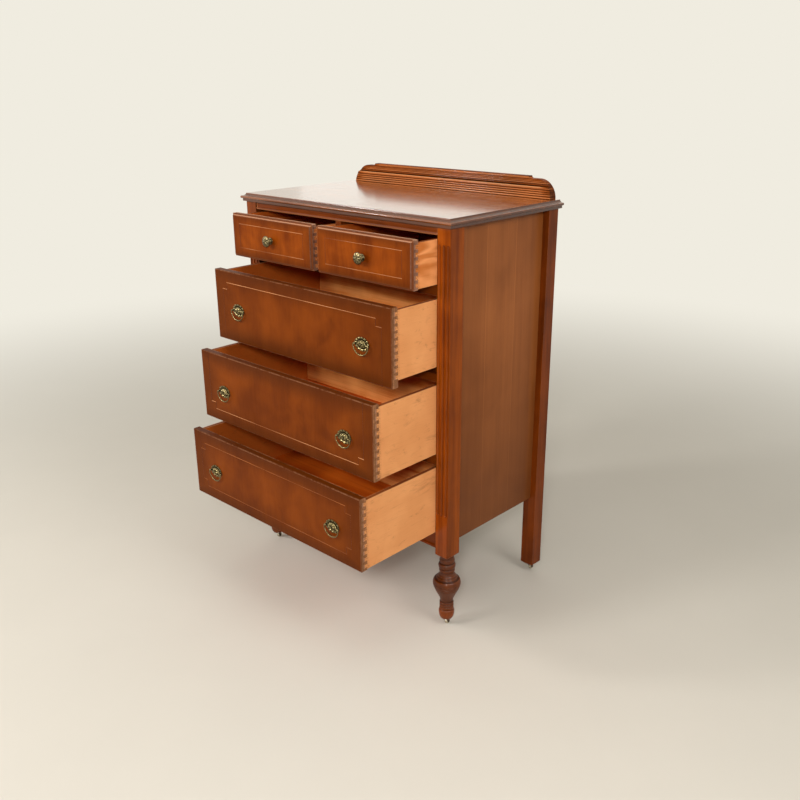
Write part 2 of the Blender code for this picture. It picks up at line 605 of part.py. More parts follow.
def case(wood, veneer, ply, parent):
    """Adds the whole case: posts, panels, rails with their runners, top and gallery."""
    for side, hand in SIDES:
        front_post("front_post_" + side, hand, wood, parent)
        rear_post("rear_post_" + side, hand, wood, parent)
        groove = PANEL_GROOVE_DEPTH - GAP
        y_span = (FRONT_POST_REAR_Y - groove, REAR_POST_FRONT_Y + groove)
        panel = block(mirrored((PANEL_INNER_X, PANEL_OUTER_X), hand), y_span, (PANEL_BOTTOM, CASE_HEIGHT))
        solid("side_panel_" + side, panel, veneer, parent)
    reach = POST_INNER_X + PANEL_GROOVE_DEPTH - GAP
    y_span = (REAR_Y - BACK_RECESS - BACK_THICKNESS, REAR_Y - BACK_RECESS)
    solid("back_panel", block((-reach, reach), y_span, (PANEL_BOTTOM, CASE_HEIGHT)), ply, parent)
    rail_half = POST_INNER_X - GAP
    section = beaded_rail(TOP_RAIL_Z, TOP_RAIL_HEIGHT)
    solid("top_rail", prism(section, X_AXIS, -rail_half, rail_half), wood, parent, smooth=40)
    seat = FRONT_GAP + SIDE_RISE - GAP
    drawer_frame("upper_frame", plain_rail(UPPER_RAIL_Z, UPPER_RAIL_HEIGHT),
                 UPPER_RAIL_Z + UPPER_RAIL_HEIGHT + seat, True, wood, parent)
    middle_seat = MIDDLE_RAIL_Z + MIDDLE_RAIL_HEIGHT + seat + UPPER_LIP
    drawer_frame("middle_frame", lipped_rail(MIDDLE_RAIL_Z, MIDDLE_RAIL_HEIGHT, middle_seat - 2 * GAP),
                 middle_seat, False, wood, parent)
    drawer_frame("lower_frame", plain_rail(LOWER_RAIL_Z, LOWER_RAIL_HEIGHT),
                 LOWER_RAIL_Z + LOWER_RAIL_HEIGHT + seat, False, wood, parent)
    drawer_frame("bottom_frame", moulded_rail(RAIL_BOTTOM, BOTTOM_RAIL_HEIGHT),
                 RAIL_BOTTOM + BOTTOM_RAIL_HEIGHT + seat, False, wood, parent)
    half = DIVIDER_WIDTH / 2
    z_span = (UPPER_RAIL_Z + UPPER_RAIL_HEIGHT + GAP, TOP_RAIL_Z - GAP)
    divider = block((-half, half), (FRONT_Y, FRONT_POST_REAR_Y - LAP_IN - GAP), z_span)
    solid("drawer_divider", divider, wood, parent)
    top_board(wood, parent)
    gallery(wood, parent)


def tail_places(low, high, count):
    """Returns the middle heights of evenly spread dovetails."""
    half_pitch = (high - low) / count / 2
    return [low + (2 * index + 1) * half_pitch for index in range(count)]


def side_outline(low, high, count, rear):
    """Returns a drawer side's (y, z) outline, with flared dovetails along its front end."""
    shoulder = FRONT_Y + FRONT_THICKNESS + GAP
    tip = FRONT_Y + FRONT_THICKNESS - TAIL_LENGTH
    points = [(rear, low), (rear, high), (shoulder, high)]
    for middle in reversed(tail_places(low, high, count)):
        root = TAIL_WIDTH / 2
        end = root + TAIL_FLARE
        points += [(shoulder, middle + root), (tip, middle + end)]
        points += [(tip, middle - end), (shoulder, middle - root)]
    points.append((shoulder, low))
    return points


def tail_sockets(low, high, count, x_span, bm):
    """Adds a cutter for the sockets that a side's dovetails sit in."""
    rear = FRONT_Y + FRONT_THICKNESS + OVERSHOOT
    tip = FRONT_Y + FRONT_THICKNESS - TAIL_LENGTH - GAP
    slope = TAIL_FLARE / TAIL_LENGTH
    for middle in tail_places(low, high, count):
        end = TAIL_WIDTH / 2 + TAIL_FLARE + 2 * GAP
        root = end - slope * (rear - tip)
        outline = [(rear, middle - root), (rear, middle + root), (tip, middle + end), (tip, middle - end)]
        prism(outline, X_AXIS, x_span[0], x_span[1], bm)


def drawer_front(name, x_span, z_span, edge, sides_z, tails, floor, material, parent):
    """Adds a drawer front with eased edges, dovetail sockets in its ends and a groove for the bottom."""
    bm = block(x_span, (FRONT_Y, FRONT_Y + FRONT_THICKNESS), z_span)
    face_edges = [e for e in bm.edges if all(v.co.y < FRONT_Y + FRONT_THICKNESS / 2 for v in e.verts)]
    bmesh.ops.bevel(bm, geom=face_edges, offset=edge, segments=3, affect="EDGES")
    front = solid(name, bm, material, parent, smooth=30)
    sockets = bmesh.new()
    inner = SIDE_THICKNESS + GAP
    tail_sockets(*sides_z, tails, (x_span[0] - OVERSHOOT, x_span[0] + inner), sockets)
    tail_sockets(*sides_z, tails, (x_span[1] - inner, x_span[1] + OVERSHOOT), sockets)
    combine(front, sockets, "DIFFERENCE")
    combine(front, floor_groove(x_span, floor), "DIFFERENCE")


def floor_spans(x_span, floor):
    """Returns the spans of a drawer's bottom, held in grooves in the front and sides."""
    reach = SIDE_THICKNESS - BOTTOM_GROOVE_DEPTH
    front = FRONT_Y + FRONT_THICKNESS - BOTTOM_GROOVE_DEPTH
    rear = FRONT_Y + DRAWER_LENGTH - BACK_BOARD_INSET
    return (x_span[0] + reach, x_span[1] - reach), (front, rear), (floor, floor + BOTTOM_THICKNESS)


def floor_groove(x_span, floor):
    """Makes a cutter for the grooves round a drawer's bottom, open at the back."""
    x, y, z = floor_spans(x_span, floor)
    y_end = FRONT_Y + DRAWER_LENGTH + OVERSHOOT
    return block((x[0] - GAP, x[1] + GAP), (y[0] - GAP, y_end), (z[0] - GAP, z[1] + GAP))


def drawer(name, x_span, low, height, lip, open_by, look):
    """Adds one drawer under its own empty and returns the empty and the middle of its front's face.

    A wide drawer has separate side and back boards. A small one has them glued up as one box.
    """
    small = look["small"]
    holder = empty(name, look["root"], (0.0, -open_by, 0.0))
    sides_z = (low + SIDE_RISE + lip, low + height - SIDE_TOP_DROP)
    tails = SMALL_TAILS if small else WIDE_TAILS
    floor = sides_z[0] + BOTTOM_LIFT
    edge = SMALL_FRONT_ROUND if small else WIDE_FRONT_ROUND
    z_span = (low, low + height)
    drawer_front(name + "_front", x_span, z_span, edge, sides_z, tails, floor, look["front"], holder)
    outline = side_outline(*sides_z, tails, FRONT_Y + DRAWER_LENGTH)
    back_rear = FRONT_Y + DRAWER_LENGTH - BACK_BOARD_INSET
    back_y = (back_rear - BACK_BOARD_THICKNESS, back_rear)
    back_z = (floor + BOTTOM_THICKNESS + GAP, sides_z[1] - BACK_BOARD_DROP)
    left_x = (x_span[0], x_span[0] + SIDE_THICKNESS)
    right_x = (x_span[1] - SIDE_THICKNESS, x_span[1])
    if small:
        box = solid(name + "_box", prism(outline, X_AXIS, *left_x), look["lining"], holder)
        combine(box, prism(outline, X_AXIS, *right_x), "UNION")
        lap = SIDE_THICKNESS / 2
        combine(box, block((left_x[1] - lap, right_x[0] + lap), back_y, back_z), "UNION")
        combine(box, floor_groove(x_span, floor), "DIFFERENCE")
    else:
        for side, span in (("left", left_x), ("right", right_x)):
            board = solid(name + "_side_" + side, prism(outline, X_AXIS, *span), look["lining"], holder)
            combine(board, floor_groove(x_span, floor), "DIFFERENCE")
        back = block((left_x[1] + GAP, right_x[0] - GAP), back_y, back_z)
        solid(name + "_back", back, look["lining"], holder)
    solid(name + "_bottom", block(*floor_spans(x_span, floor)), look["ply"], holder)
    return holder, low + height / 2


def facing_front(bm, x, y, z):
    """Turns a shape made on the z axis to stand out of a drawer front at a place."""
    bm.transform(Matrix.Translation((x, y, z)) @ Matrix.Rotation(math.pi / 2, 4, "X"))
    return bm


def knob(name, x, z, brass, parent):
    """Adds a turned knob on a small drawer's front."""
    stem = KNOB_BASE_DEPTH + KNOB_STEM_LENGTH
    profile = [(0.0, stem + KNOB_HEAD_DEPTH)]
    profile += arc((0.0, stem + KNOB_HEAD_DEPTH / 2), (KNOB_HEAD_RADIUS, KNOB_HEAD_DEPTH / 2), 75, -60, 6)
    profile += [(KNOB_STEM_RADIUS, stem), (KNOB_STEM_RADIUS, KNOB_BASE_DEPTH + KNOB_STEM_LENGTH / 2)]
    profile += [(KNOB_BASE_RADIUS, KNOB_BASE_DEPTH), (KNOB_BASE_RADIUS, 0.0), (0.0, 0.0)]
    shape = turned(profile, 16)
    solid(name, facing_front(shape, x, FRONT_Y - GAP, z), brass, parent, smooth=40)


def rosette_shape():
    """Makes an oval plate with a petalled dome, on the z axis, flat underneath.

    Each ring is (radius, height, share of the petals' relief): a circle that swells and dips with the angle,
    then stretched sideways to the oval.
    """
    stretch = ROSETTE_HALF_WIDTH / ROSETTE_HALF_HEIGHT
    dome = [(ROSETTE_DOME_HALF_HEIGHT * math.cos(a), ROSETTE_DOME_RISE * math.sin(a), math.cos(a))
            for a in (math.radians(d) for d in (0, 25, 50, 70))]
    rings = [(ROSETTE_HALF_HEIGHT, 0.0, 0.0), (ROSETTE_HALF_HEIGHT, ROSETTE_RIM, 0.0)]
    rings += [(radius, ROSETTE_RIM + rise, share) for radius, rise, share in dome]
    bm = bmesh.new()
    loops = []
    for radius, height, share in rings:
        loop = []
        for index in range(ROSETTE_SEGMENTS):
            angle = 2 * math.pi * index / ROSETTE_SEGMENTS
            relief = share * PETAL_RELIEF * math.cos(ROSETTE_PETALS * angle)
            reach = radius + relief
            across = stretch * reach * math.cos(angle)
            loop.append(bm.verts.new((across, reach * math.sin(angle), height)))
        loops.append(loop)
    bm.faces.new(loops[0])
    for lower, upper in zip(loops, loops[1:]):
        for index in range(ROSETTE_SEGMENTS):
            bm.faces.new((lower[index - 1], lower[index], upper[index], upper[index - 1]))
    crown = bm.verts.new((0.0, 0.0, ROSETTE_RIM + ROSETTE_DOME_RISE))
    for index in range(ROSETTE_SEGMENTS):
        bm.faces.new((loops[-1][index - 1], loops[-1][index], crown))
    return bm


def rosette(name, x, z, brass, parent):
    """Adds a rosette with two ears, each bored through for the bail's ends."""
    plate = solid(name, facing_front(rosette_shape(), x, FRONT_Y - GAP, z), brass, parent, smooth=40)
    ears = bmesh.new()
    holes = bmesh.new()
    hole = BAIL_WIRE_RADIUS + BAIL_HOLE_CLEARANCE
    ear_y = FRONT_Y - GAP - EAR_REACH
    for _, hand in SIDES:
        ear_x = x + hand * EAR_SPREAD / 2
        half = EAR_RADIUS / 2
        ear = arc((ear_y, z), (EAR_RADIUS, EAR_RADIUS), 90, 270, 6)
        ear += [(FRONT_Y - 2 * GAP, z - EAR_RADIUS), (FRONT_Y - 2 * GAP, z + EAR_RADIUS)]
        prism(ear, X_AXIS, ear_x - half, ear_x + half, ears)
        ring = arc((ear_y, z), (hole, hole), 0, 360, 10)[:-1]
        prism(ring, X_AXIS, ear_x - EAR_RADIUS, ear_x + EAR_RADIUS, holes)
    combine(plate, ears, "UNION")
    combine(plate, holes, "DIFFERENCE")


def bail(name, x, z, brass, parent):
    """Adds a bail: a wire loop that hangs from the rosette's ears, with its origin on their axis."""
    half = BAIL_WIDTH / 2
    pin = EAR_SPREAD / 2 - EAR_RADIUS / 2 - GAP
    bend = half - EAR_SPREAD / 2 - EAR_RADIUS / 2 - GAP
    corner = half - bend
    right = [(pin, 0.0), (corner - GAP, 0.0)]
    right += arc((corner, -bend), (bend, bend), 60, 0, 2)
    loop = arc((0.0, -bend), (half, BAIL_DROP - bend), 0, -180, 12)[1:-1]
    left = [(-x_, z_) for x_, z_ in reversed(right)]
    route = right + loop + left
    curve = bpy.data.curves.new(name, "CURVE")
    curve.dimensions = "3D"
    curve.bevel_depth = BAIL_WIRE_RADIUS
    curve.bevel_resolution = 1
    curve.use_fill_caps = True
    spline = curve.splines.new("POLY")
    spline.points.add(len(route) - 1)
    for point, (along, up) in zip(spline.points, route):
        point.co = (along, 0.0, up, 1.0)
    curve.materials.append(brass)
    obj = bpy.data.objects.new(name, curve)
    bpy.context.collection.objects.link(obj)
    obj.parent = parent
    obj.location = (x, FRONT_Y - GAP - EAR_REACH, z)


def castor_horn(name, iron, holder):
    """Adds a castor's horn: a pintle and plate over two cheeks with an axle riveted through them."""
    top = LEG_BASE - GAP
    profile = [(0.0, top + PINTLE_LENGTH), (PINTLE_RADIUS, top + PINTLE_LENGTH), (PINTLE_RADIUS, top)]
    profile += [(HORN_PLATE_RADIUS, top), (HORN_PLATE_RADIUS, HORN_PLATE_Z), (0.0, HORN_PLATE_Z)]
    horn = solid(name, turned(profile, 14), iron, holder, smooth=40)
    cheeks = bmesh.new()
    inner = WHEEL_WIDTH / 2 + CHEEK_GAP
    boss = 2 * AXLE_RADIUS
    outline = arc((CASTOR_TRAIL, AXLE_Z), (boss, boss), 0, -180, 6)
    root = HORN_PLATE_Z + HORN_PLATE_THICKNESS / 2
    outline += [(-HORN_PLATE_RADIUS / 2, root), (HORN_PLATE_RADIUS / 2, root)]
    for _, hand in SIDES:
        x_span = mirrored((inner, inner + CHEEK_THICKNESS), hand)
        prism(outline, X_AXIS, *x_span, cheeks)
    combine(horn, cheeks, "UNION")
    reach = inner + CHEEK_THICKNESS / 2
    rod = arc((CASTOR_TRAIL, AXLE_Z), (AXLE_RADIUS, AXLE_RADIUS), 0, 360, 10)[:-1]
    combine(horn, prism(rod, X_AXIS, -reach, reach), "UNION")


def castor_wheel(name, metal, holder):
    """Adds a castor's wheel, with its origin on the axle and a flat of its rim on the floor."""
    half = WHEEL_WIDTH / 2
    bore = AXLE_RADIUS + GAP
    side = WHEEL_RADIUS - WHEEL_ROUND
    profile = [(bore, half), (side, half), (WHEEL_RADIUS, half - WHEEL_ROUND)]
    profile += [(WHEEL_RADIUS, WHEEL_ROUND - half), (side, -half), (bore, -half)]
    bm = turned(profile, WHEEL_SEGMENTS, ring=True)
    half_step = Matrix.Rotation(math.pi / WHEEL_SEGMENTS, 4, "Z")
    bm.transform(Matrix.Rotation(math.pi / 2, 4, "Y") @ half_step)
    solid(name, bm, metal, holder, (0.0, CASTOR_TRAIL, AXLE_Z), smooth=40)


def main():
    """Builds the chest with its drawers drawn out."""
    clear_scene()
    wood = principled("case_wood", (0.20, 0.055, 0.018), 0.32)
    veneer = principled("side_veneer", (0.19, 0.070, 0.028), 0.38)
    front = principled("front_veneer", (0.26, 0.078, 0.020), 0.32)
    lining = principled("drawer_lining", (0.62, 0.32, 0.13), 0.60)
    ply = principled("plywood", (0.42, 0.20, 0.08), 0.65)
    brass = principled("aged_brass", (0.30, 0.25, 0.13), 0.38, 1.0)
    iron = principled("castor_iron", (0.10, 0.085, 0.06), 0.45, 1.0)
    steel = principled("castor_wheel", (0.52, 0.47, 0.36), 0.35, 1.0)
    root = empty("highboy", None, (0.0, ROOT_Y, 0.0))
    case(wood, veneer, ply, root)
    look = {"root": root, "front": front, "lining": lining, "ply": ply, "small": True}
    inner = DIVIDER_WIDTH / 2 + FRONT_GAP
    outer = POST_INNER_X - FRONT_GAP
    for side, hand in SIDES:
        name = "small_drawer_" + side
        x_span = mirrored((inner, outer), hand)
        holder, middle = drawer(name, x_span, SMALL_FRONT_Z, SMALL_FRONT_HEIGHT, 0.0, SMALL_OPEN, look)
        knob(name + "_knob", sum(x_span) / 2, middle, brass, holder)
    look["small"] = False
    wide = (("upper_drawer", UPPER_FRONT_Z, UPPER_LIP, UPPER_OPEN),
            ("middle_drawer", MIDDLE_FRONT_Z, 0.0, MIDDLE_OPEN),
            ("lower_drawer", LOWER_FRONT_Z, 0.0, LOWER_OPEN))
    for name, low, lip, open_by in wide:
        holder, middle = drawer(name, (-outer, outer), low, WIDE_FRONT_HEIGHT, lip, open_by, look)
        for side, hand in SIDES:
            pull_x = hand * (outer - PULL_INSET)
            rosette(name + "_rosette_" + side, pull_x, middle - PULL_DROP, brass, holder)
            bail(name + "_bail_" + side, pull_x, middle - PULL_DROP, brass, holder)
    for end, leg_y in (("front", FRONT_LEG_Y), ("rear", REAR_LEG_Y)):
        for side, hand in SIDES:
            place = end + "_" + side
            holder = empty("castor_" + place, root, (hand * LEG_X, leg_y, 0.0))
            castor_horn("castor_horn_" + place, iron, holder)
            castor_wheel("castor_wheel_" + place, steel, holder)


main()
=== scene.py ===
"""Looks of the highboy: fine surfaces and wood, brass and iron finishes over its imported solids.

Sizes are metres in the frame's own axes: x across the front, y from the front to the back, z up.
Every surface is a function of two parameters on a grid, worked out as whole arrays.
"""
import logging
import math
from dataclasses import dataclass, field, replace
from enum import Enum
from functools import reduce

import bmesh
import bpy
import numpy as np
from mathutils import Matrix, Vector


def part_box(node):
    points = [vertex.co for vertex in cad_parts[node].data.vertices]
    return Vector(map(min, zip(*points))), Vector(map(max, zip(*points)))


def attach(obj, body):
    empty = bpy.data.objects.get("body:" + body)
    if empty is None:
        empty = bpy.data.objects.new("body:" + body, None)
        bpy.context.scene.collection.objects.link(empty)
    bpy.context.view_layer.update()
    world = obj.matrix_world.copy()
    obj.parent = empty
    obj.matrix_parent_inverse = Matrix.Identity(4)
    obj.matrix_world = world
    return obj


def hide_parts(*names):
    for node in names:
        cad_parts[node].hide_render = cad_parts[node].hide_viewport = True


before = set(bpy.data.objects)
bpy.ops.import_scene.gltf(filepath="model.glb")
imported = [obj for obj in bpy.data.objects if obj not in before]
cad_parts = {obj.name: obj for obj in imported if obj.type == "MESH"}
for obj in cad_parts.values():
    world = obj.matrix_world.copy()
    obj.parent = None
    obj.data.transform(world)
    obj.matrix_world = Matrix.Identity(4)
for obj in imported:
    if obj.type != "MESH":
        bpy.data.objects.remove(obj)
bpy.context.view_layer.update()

LOG = logging.getLogger("highboy")
MERGE_DISTANCE = 1e-6
SHARP_ANGLE = math.radians(38)
BEAD_STEPS = 12
SPAN_STEPS = 12
NOISE_MEAN = 0.5
ORIGIN = (0.0, 0.0, 0.0)
EVEN = (1.0, 1.0, 1.0)

Array = np.ndarray
Colour = tuple[float, float, float]
Socket = bpy.types.NodeSocket


class Side(Enum):
    """A side of a piece, and the small drawer on that side of the case."""

    LEFT = "left"
    RIGHT = "right"

    @property
    def hand(self) -> float:
        """The way that it lies along x, -1 or 1."""
        return -1.0 if self is Side.LEFT else 1.0

    @property
    def drawer(self) -> str:
        """Name of its small drawer."""
        return "small_drawer_" + self.value


class Row(Enum):
    """A row of the case that one wide drawer fills."""

    UPPER = "upper"
    MIDDLE = "middle"
    LOWER = "lower"

    @property
    def drawer(self) -> str:
        """Name of its drawer."""
        return self.value + "_drawer"


def stain(red: int, green: int, blue: int) -> Colour:
    """Turns a colour as it is seen, 0 to 255, into the linear values of a shader, by the sRGB curve."""
    seen = np.array([red, green, blue]) / 255.0
    return tuple(np.where(seen <= 0.04045, seen / 12.92, ((seen + 0.055) / 1.055) ** 2.4).tolist())


def darker(colour: Colour, share: float) -> Colour:
    """A colour with each of its parts brought down to a share."""
    return tuple(share * part for part in colour)


def joined(*axes: Array | float) -> Array:
    """Joins the values on each axis into points, spreading each over the whole grid."""
    return np.stack(np.broadcast_arrays(*axes), axis=-1)


def arc(centre: tuple, radii: tuple, start: float, end: float, steps: int) -> Array:
    """Points along an elliptical arc: the radii times the cosine and sine of angles, given in degrees."""
    angle = np.radians(np.linspace(start, end, steps + 1))
    return joined(centre[0] + radii[0] * np.cos(angle), centre[1] + radii[1] * np.sin(angle))


def swell(value: Array, low: float, high: float) -> Array:
    """A smooth step: three times the share squared less twice its cube, between two limits."""
    share = np.clip((value - low) / (high - low), 0.0, 1.0)
    return share * share * (3.0 - 2.0 * share)


def bell(value: Array, middle: float | Array, width: float) -> Array:
    """A bell curve: e to the power of minus the square of the distance from its middle, in widths."""
    return np.exp(-((value - middle) / width) ** 2)


def rounded(share: Array) -> Array:
    """A quarter circle: the root of one less the share squared, and zero past its end."""
    return np.sqrt(np.maximum(1 - share ** 2, 0.0))


def scallops(count: int, angles: Array, power: float = 1.0) -> Array:
    """A ring of half waves: the cosine of half the count times the angle, without its sign, to a power."""
    return np.abs(np.cos(count * angles / 2)) ** power


def bead(base: float, bulge: float, low: float, height: float) -> Array:
    """A half-round bead, a half ellipse from its foot up; a bulge below zero stands out to the front."""
    return arc((base, low + height / 2), (bulge, height / 2), -90, 90, BEAD_STEPS)


def beads(base: float, low: float, sizes: list[tuple]) -> Array:
    """Beads stacked up a straight line, by bulge and height, without the first point of each."""
    feet = low + np.cumsum([0.0] + [height for _, height in sizes])
    return np.concatenate([bead(base, bulge, foot, height)[1:]
                           for (bulge, height), foot in zip(sizes, feet)])


def spun(profile: Array, angles: Array) -> Array:
    """Spins (radius, height) points about z: x and y are the radius times the angle's cosine and sine."""
    radius, height = profile[:, :1], profile[:, 1:]
    return joined(radius * np.cos(angles), radius * np.sin(angles), height)


def sunken(place: Array, level: Array, span: float, depth: float, base: float = 0.0) -> Array:
    """How far each point of an outline lies below its surroundings: their mean over a span less its own.

    Args:
        place: Position of each point along the outline, rising.
        level: How far each point stands out.
        span: Length of outline that the mean is taken over.
        depth: Difference that counts as fully hollow.
        base: Share of a point that is level with them.

    Returns:
        Share of hollow, from -1 on a ridge to 1 in a valley.
    """
    fine = np.arange(place[0], place[-1], span / SPAN_STEPS)
    stands = np.pad(np.interp(fine, place, level), SPAN_STEPS // 2, mode="edge")
    mean = np.convolve(stands, np.ones(SPAN_STEPS + 1) / (SPAN_STEPS + 1), mode="valid")
    return np.clip(base + (1 - base) * (np.interp(place, fine, mean) - level) / depth, -1.0, 1.0)


def around(columns: int) -> Array:
    """Angles of evenly spread columns round a full turn."""
    return np.linspace(0.0, 2.0 * np.pi, columns, endpoint=False)


def shares(steps: int) -> Array:
    """Even shares after 0, up to 1."""
    return np.linspace(0.0, 1.0, steps + 1)[1:]


def out_of_front(points: Array, place: Array) -> Array:
    """Turns a shape made on the z axis to stand out of a drawer front: (a, b, c) goes to (a, -c, b)."""
    return joined(points[..., 0], -points[..., 2], points[..., 1]) + place


def along_axle(points: Array, centre: Array, hand: float = 1.0) -> Array:
    """Turns a shape made on the z axis to lie along x, to one hand: (a, b, c) goes to (c, a, b)."""
    return joined(hand * points[..., 2], points[..., 0], points[..., 1]) + centre


def seat_of(node: str) -> Array:
    """Middle of a fitting's rear face, where it sits on the drawer's front."""
    low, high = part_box(node)
    return np.array([(low.x + high.x) / 2, high.y, (low.z + high.z) / 2])


@dataclass
class Surface:
    """Grids of points gathered into one mesh; each point has a share of hollow, 1 deep, -1 on a ridge."""

    points: list = field(default_factory=list)
    hollows: list = field(default_factory=list)
    faces: list = field(default_factory=list)
    count: int = 0

    def grid(self, points: Array, hollow: Array | float = 0.0, ring: bool = False) -> Array:
        """Adds a grid whose point (i, j) joins (i, j + 1), (i + 1, j + 1) and (i + 1, j).

        Args:
            points: Rows by columns by three.
            hollow: Share of hollow at each point, or one for all.
            ring: Whether the last column joins the first.

        Returns:
            The points' numbers, rows by columns.
        """
        rows, columns = points.shape[:2]
        numbers = self.count + np.arange(rows * columns).reshape(rows, columns)
        left = numbers if ring else numbers[:, :-1]
        right = np.roll(numbers, -1, axis=1) if ring else numbers[:, 1:]
        quads = joined(left[:-1], right[:-1], right[1:], left[1:])
        self.points.append(points.reshape(-1, 3))
        self.hollows.append(np.broadcast_to(hollow, (rows, columns)).ravel())
        self.faces += quads.reshape(-1, 4).tolist()
        self.count += rows * columns
        return numbers

    def tube(self, points: Array, hollow: Array | float = 0.0) -> None:
        """Adds a grid that closes round its columns, with a flat face over its first and last row."""
        numbers = self.grid(points, hollow, ring=True)
        self.faces += [numbers[0].tolist(), numbers[-1].tolist()]

    def piece(self, name: str, body: str, finish: bpy.types.Material, slot: str, *nodes: str) -> None:
        """Makes the mesh, with its seams merged and its faces pointing outwards, and rides it on a body.

        Args:
            name: Name of the new piece.
            body: Body that it moves with.
            finish: Its material.
            slot: Not used.
            nodes: Solids that it stands for.
        """
        mesh = bpy.data.meshes.new(name)
        mesh.from_pydata(np.concatenate(self.points).tolist(), [], self.faces)
        hollow = mesh.attributes.new("hollow", "FLOAT", "POINT")
        hollow.data.foreach_set("value", np.concatenate(self.hollows).astype(np.float32))
        shell = bmesh.new()
        shell.from_mesh(mesh)
        bmesh.ops.remove_doubles(shell, verts=shell.verts, dist=MERGE_DISTANCE)
        bmesh.ops.dissolve_degenerate(shell, edges=shell.edges, dist=MERGE_DISTANCE)
        bmesh.ops.recalc_face_normals(shell, faces=shell.faces)
        shell.to_mesh(mesh)
        shell.free()
        mesh.shade_smooth()
        mesh.set_sharp_from_angle(angle=SHARP_ANGLE)
        mesh.materials.append(finish)
        obj = bpy.data.objects.new(name, mesh)
        bpy.context.scene.collection.objects.link(obj)
        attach(obj, body)
        if nodes:
            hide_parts(*nodes)
        LOG.info("piece %s: %d faces on %s", name, len(mesh.polygons), body)


class Blend(Enum):
    """How a second colour goes over a first."""

    COVER = "MIX"
    # Used to multiply a drawer's inner faces by painted shade.
    SHADE_MULTIPLY = "MULTIPLY"


@dataclass(frozen=True)
class Marks:
    """Marks drawn by a noise: they grow from none at its low limit to full at its high one."""

    scale: float
    low: float
    high: float
    detail: float = 3.0
    rough: float = 0.6
    bent: float = 0.0


class Graph:
    """A material's node tree, built from its coordinates up to its shader."""

    def __init__(self, name: str) -> None:
        """Starts a material with one Principled shader.

        Args:
            name: Name of the material.
        """
        self.material = bpy.data.materials.new(name)
        self.material.use_nodes = True
        self.tree = self.material.node_tree
        self.shader = self.tree.nodes["Principled BSDF"]
        self.coordinates = self.tree.nodes.new("ShaderNodeTexCoord")

    def put(self, target: Socket, value: object) -> None:
        """Links a socket to another, or sets its own value.

        Args:
            target: The socket.
            value: Another socket, a number, a vector, or a colour without its alpha.
        """
        if isinstance(value, bpy.types.NodeSocket):
            self.tree.links.new(value, target)
        elif isinstance(value, tuple) and len(target.default_value) == 4:
            target.default_value = (*value, 1.0)
        else:
            target.default_value = value

    def node(self, kind: str, settings: dict[str, object], inputs: dict) -> bpy.types.Node:
        """Adds a node.

        Args:
            kind: Its type.
            settings: Its properties by name.
            inputs: What goes into its sockets, by their names or numbers.

        Returns:
            The node.
        """
        made = self.tree.nodes.new(kind)
        for key, value in settings.items():
            setattr(made, key, value)
        for key, value in inputs.items():
            self.put(made.inputs[key], value)
        return made

    def shade(self, inputs: dict[str, object]) -> None:
        """Sets the shader's inputs."""
        for key, value in inputs.items():
            self.put(self.shader.inputs[key], value)

    def math(self, operation: str, *values: object) -> Socket:
        """Adds a math node on its values, in order."""
        return self.node("ShaderNodeMath", {"operation": operation}, dict(enumerate(values))).outputs[0]

    def total(self, *parts: object) -> Socket:
        """Adds values together."""
        return reduce(lambda first, second: self.math("ADD", first, second), parts)

    def times(self, *factors: object) -> Socket:
        """Multiplies values together."""
        return reduce(lambda first, second: self.math("MULTIPLY", first, second), factors)

    def wander(self, noise: Socket, share: float) -> Socket:
        """A noise brought to zero on average, times a share."""
        return self.times(self.math("SUBTRACT", noise, NOISE_MEAN), share)

    def mix(self, share: object, first: object, second: object, blend: Blend = Blend.COVER) -> Socket:
        """Mixes two colours, whose sockets come after those for numbers and vectors."""
        settings = {"data_type": "RGBA", "blend_type": blend.value}
        return self.node("ShaderNodeMix", settings, {0: share, 6: first, 7: second}).outputs[2]

    def step(self, value: Socket, low: float, high: float, start: float = 0.0, end: float = 1.0) -> Socket:
        """Maps a value smoothly from one span to another."""
        spans = {"Value": value, "From Min": low, "From Max": high, "To Min": start, "To Max": end}
        return self.node("ShaderNodeMapRange", {"interpolation_type": "SMOOTHSTEP"}, spans).outputs["Result"]

    def place(self, offset: tuple = ORIGIN, scale: tuple = EVEN) -> Socket:
        """Object coordinates, stretched and moved."""
        inputs = {"Vector": self.coordinates.outputs["Object"], "Location": offset, "Scale": scale}
        return self.node("ShaderNodeMapping", {}, inputs).outputs["Vector"]

    def drawn_out(self, axis: int, scale: float, offset: tuple = ORIGIN) -> Socket:
        """Object coordinates that draw a noise out along one axis."""
        return self.place(offset, tuple(scale if other == axis else 1.0 for other in range(3)))

    def noise(self, vector: Socket, scale: float, detail: float, rough: float, bent: float = 0.0) -> Socket:
        """Adds a noise texture, about 0.5 on average."""
        inputs = {"Vector": vector, "Scale": scale, "Detail": detail, "Roughness": rough, "Distortion": bent}
        return self.node("ShaderNodeTexNoise", {}, inputs).outputs["Fac"]

    def marks(self, vector: Socket, marks: Marks, share: float = 1.0) -> Socket:
        """Draws marks, at a share of their full strength."""
        noise = self.noise(vector, marks.scale, marks.detail, marks.rough, marks.bent)
        return self.step(noise, marks.low, marks.high, 0.0, share)

    def hollow(self) -> Socket:
        """The share of hollow that a fine piece carries on its points; solids have none."""
        return self.node("ShaderNodeAttribute", {"attribute_name": "hollow"}, {}).outputs["Fac"]

    def axes(self, vector: Socket) -> list[Socket]:
        """Splits a vector into its three axes."""
        return list(self.node("ShaderNodeSeparateXYZ", {}, {"Vector": vector}).outputs)

    def facing(self, axis: int) -> Socket:
        """How far a face looks along an axis, from -1 to 1."""
        return self.axes(self.coordinates.outputs["Normal"])[axis]

    def relief(self, height: Socket, strength: float, depth: float) -> Socket:
        """Turns a height into a bumped normal."""
        inputs = {"Height": height, "Strength": strength, "Distance": depth}
        return self.node("ShaderNodeBump", {}, inputs).outputs["Normal"]


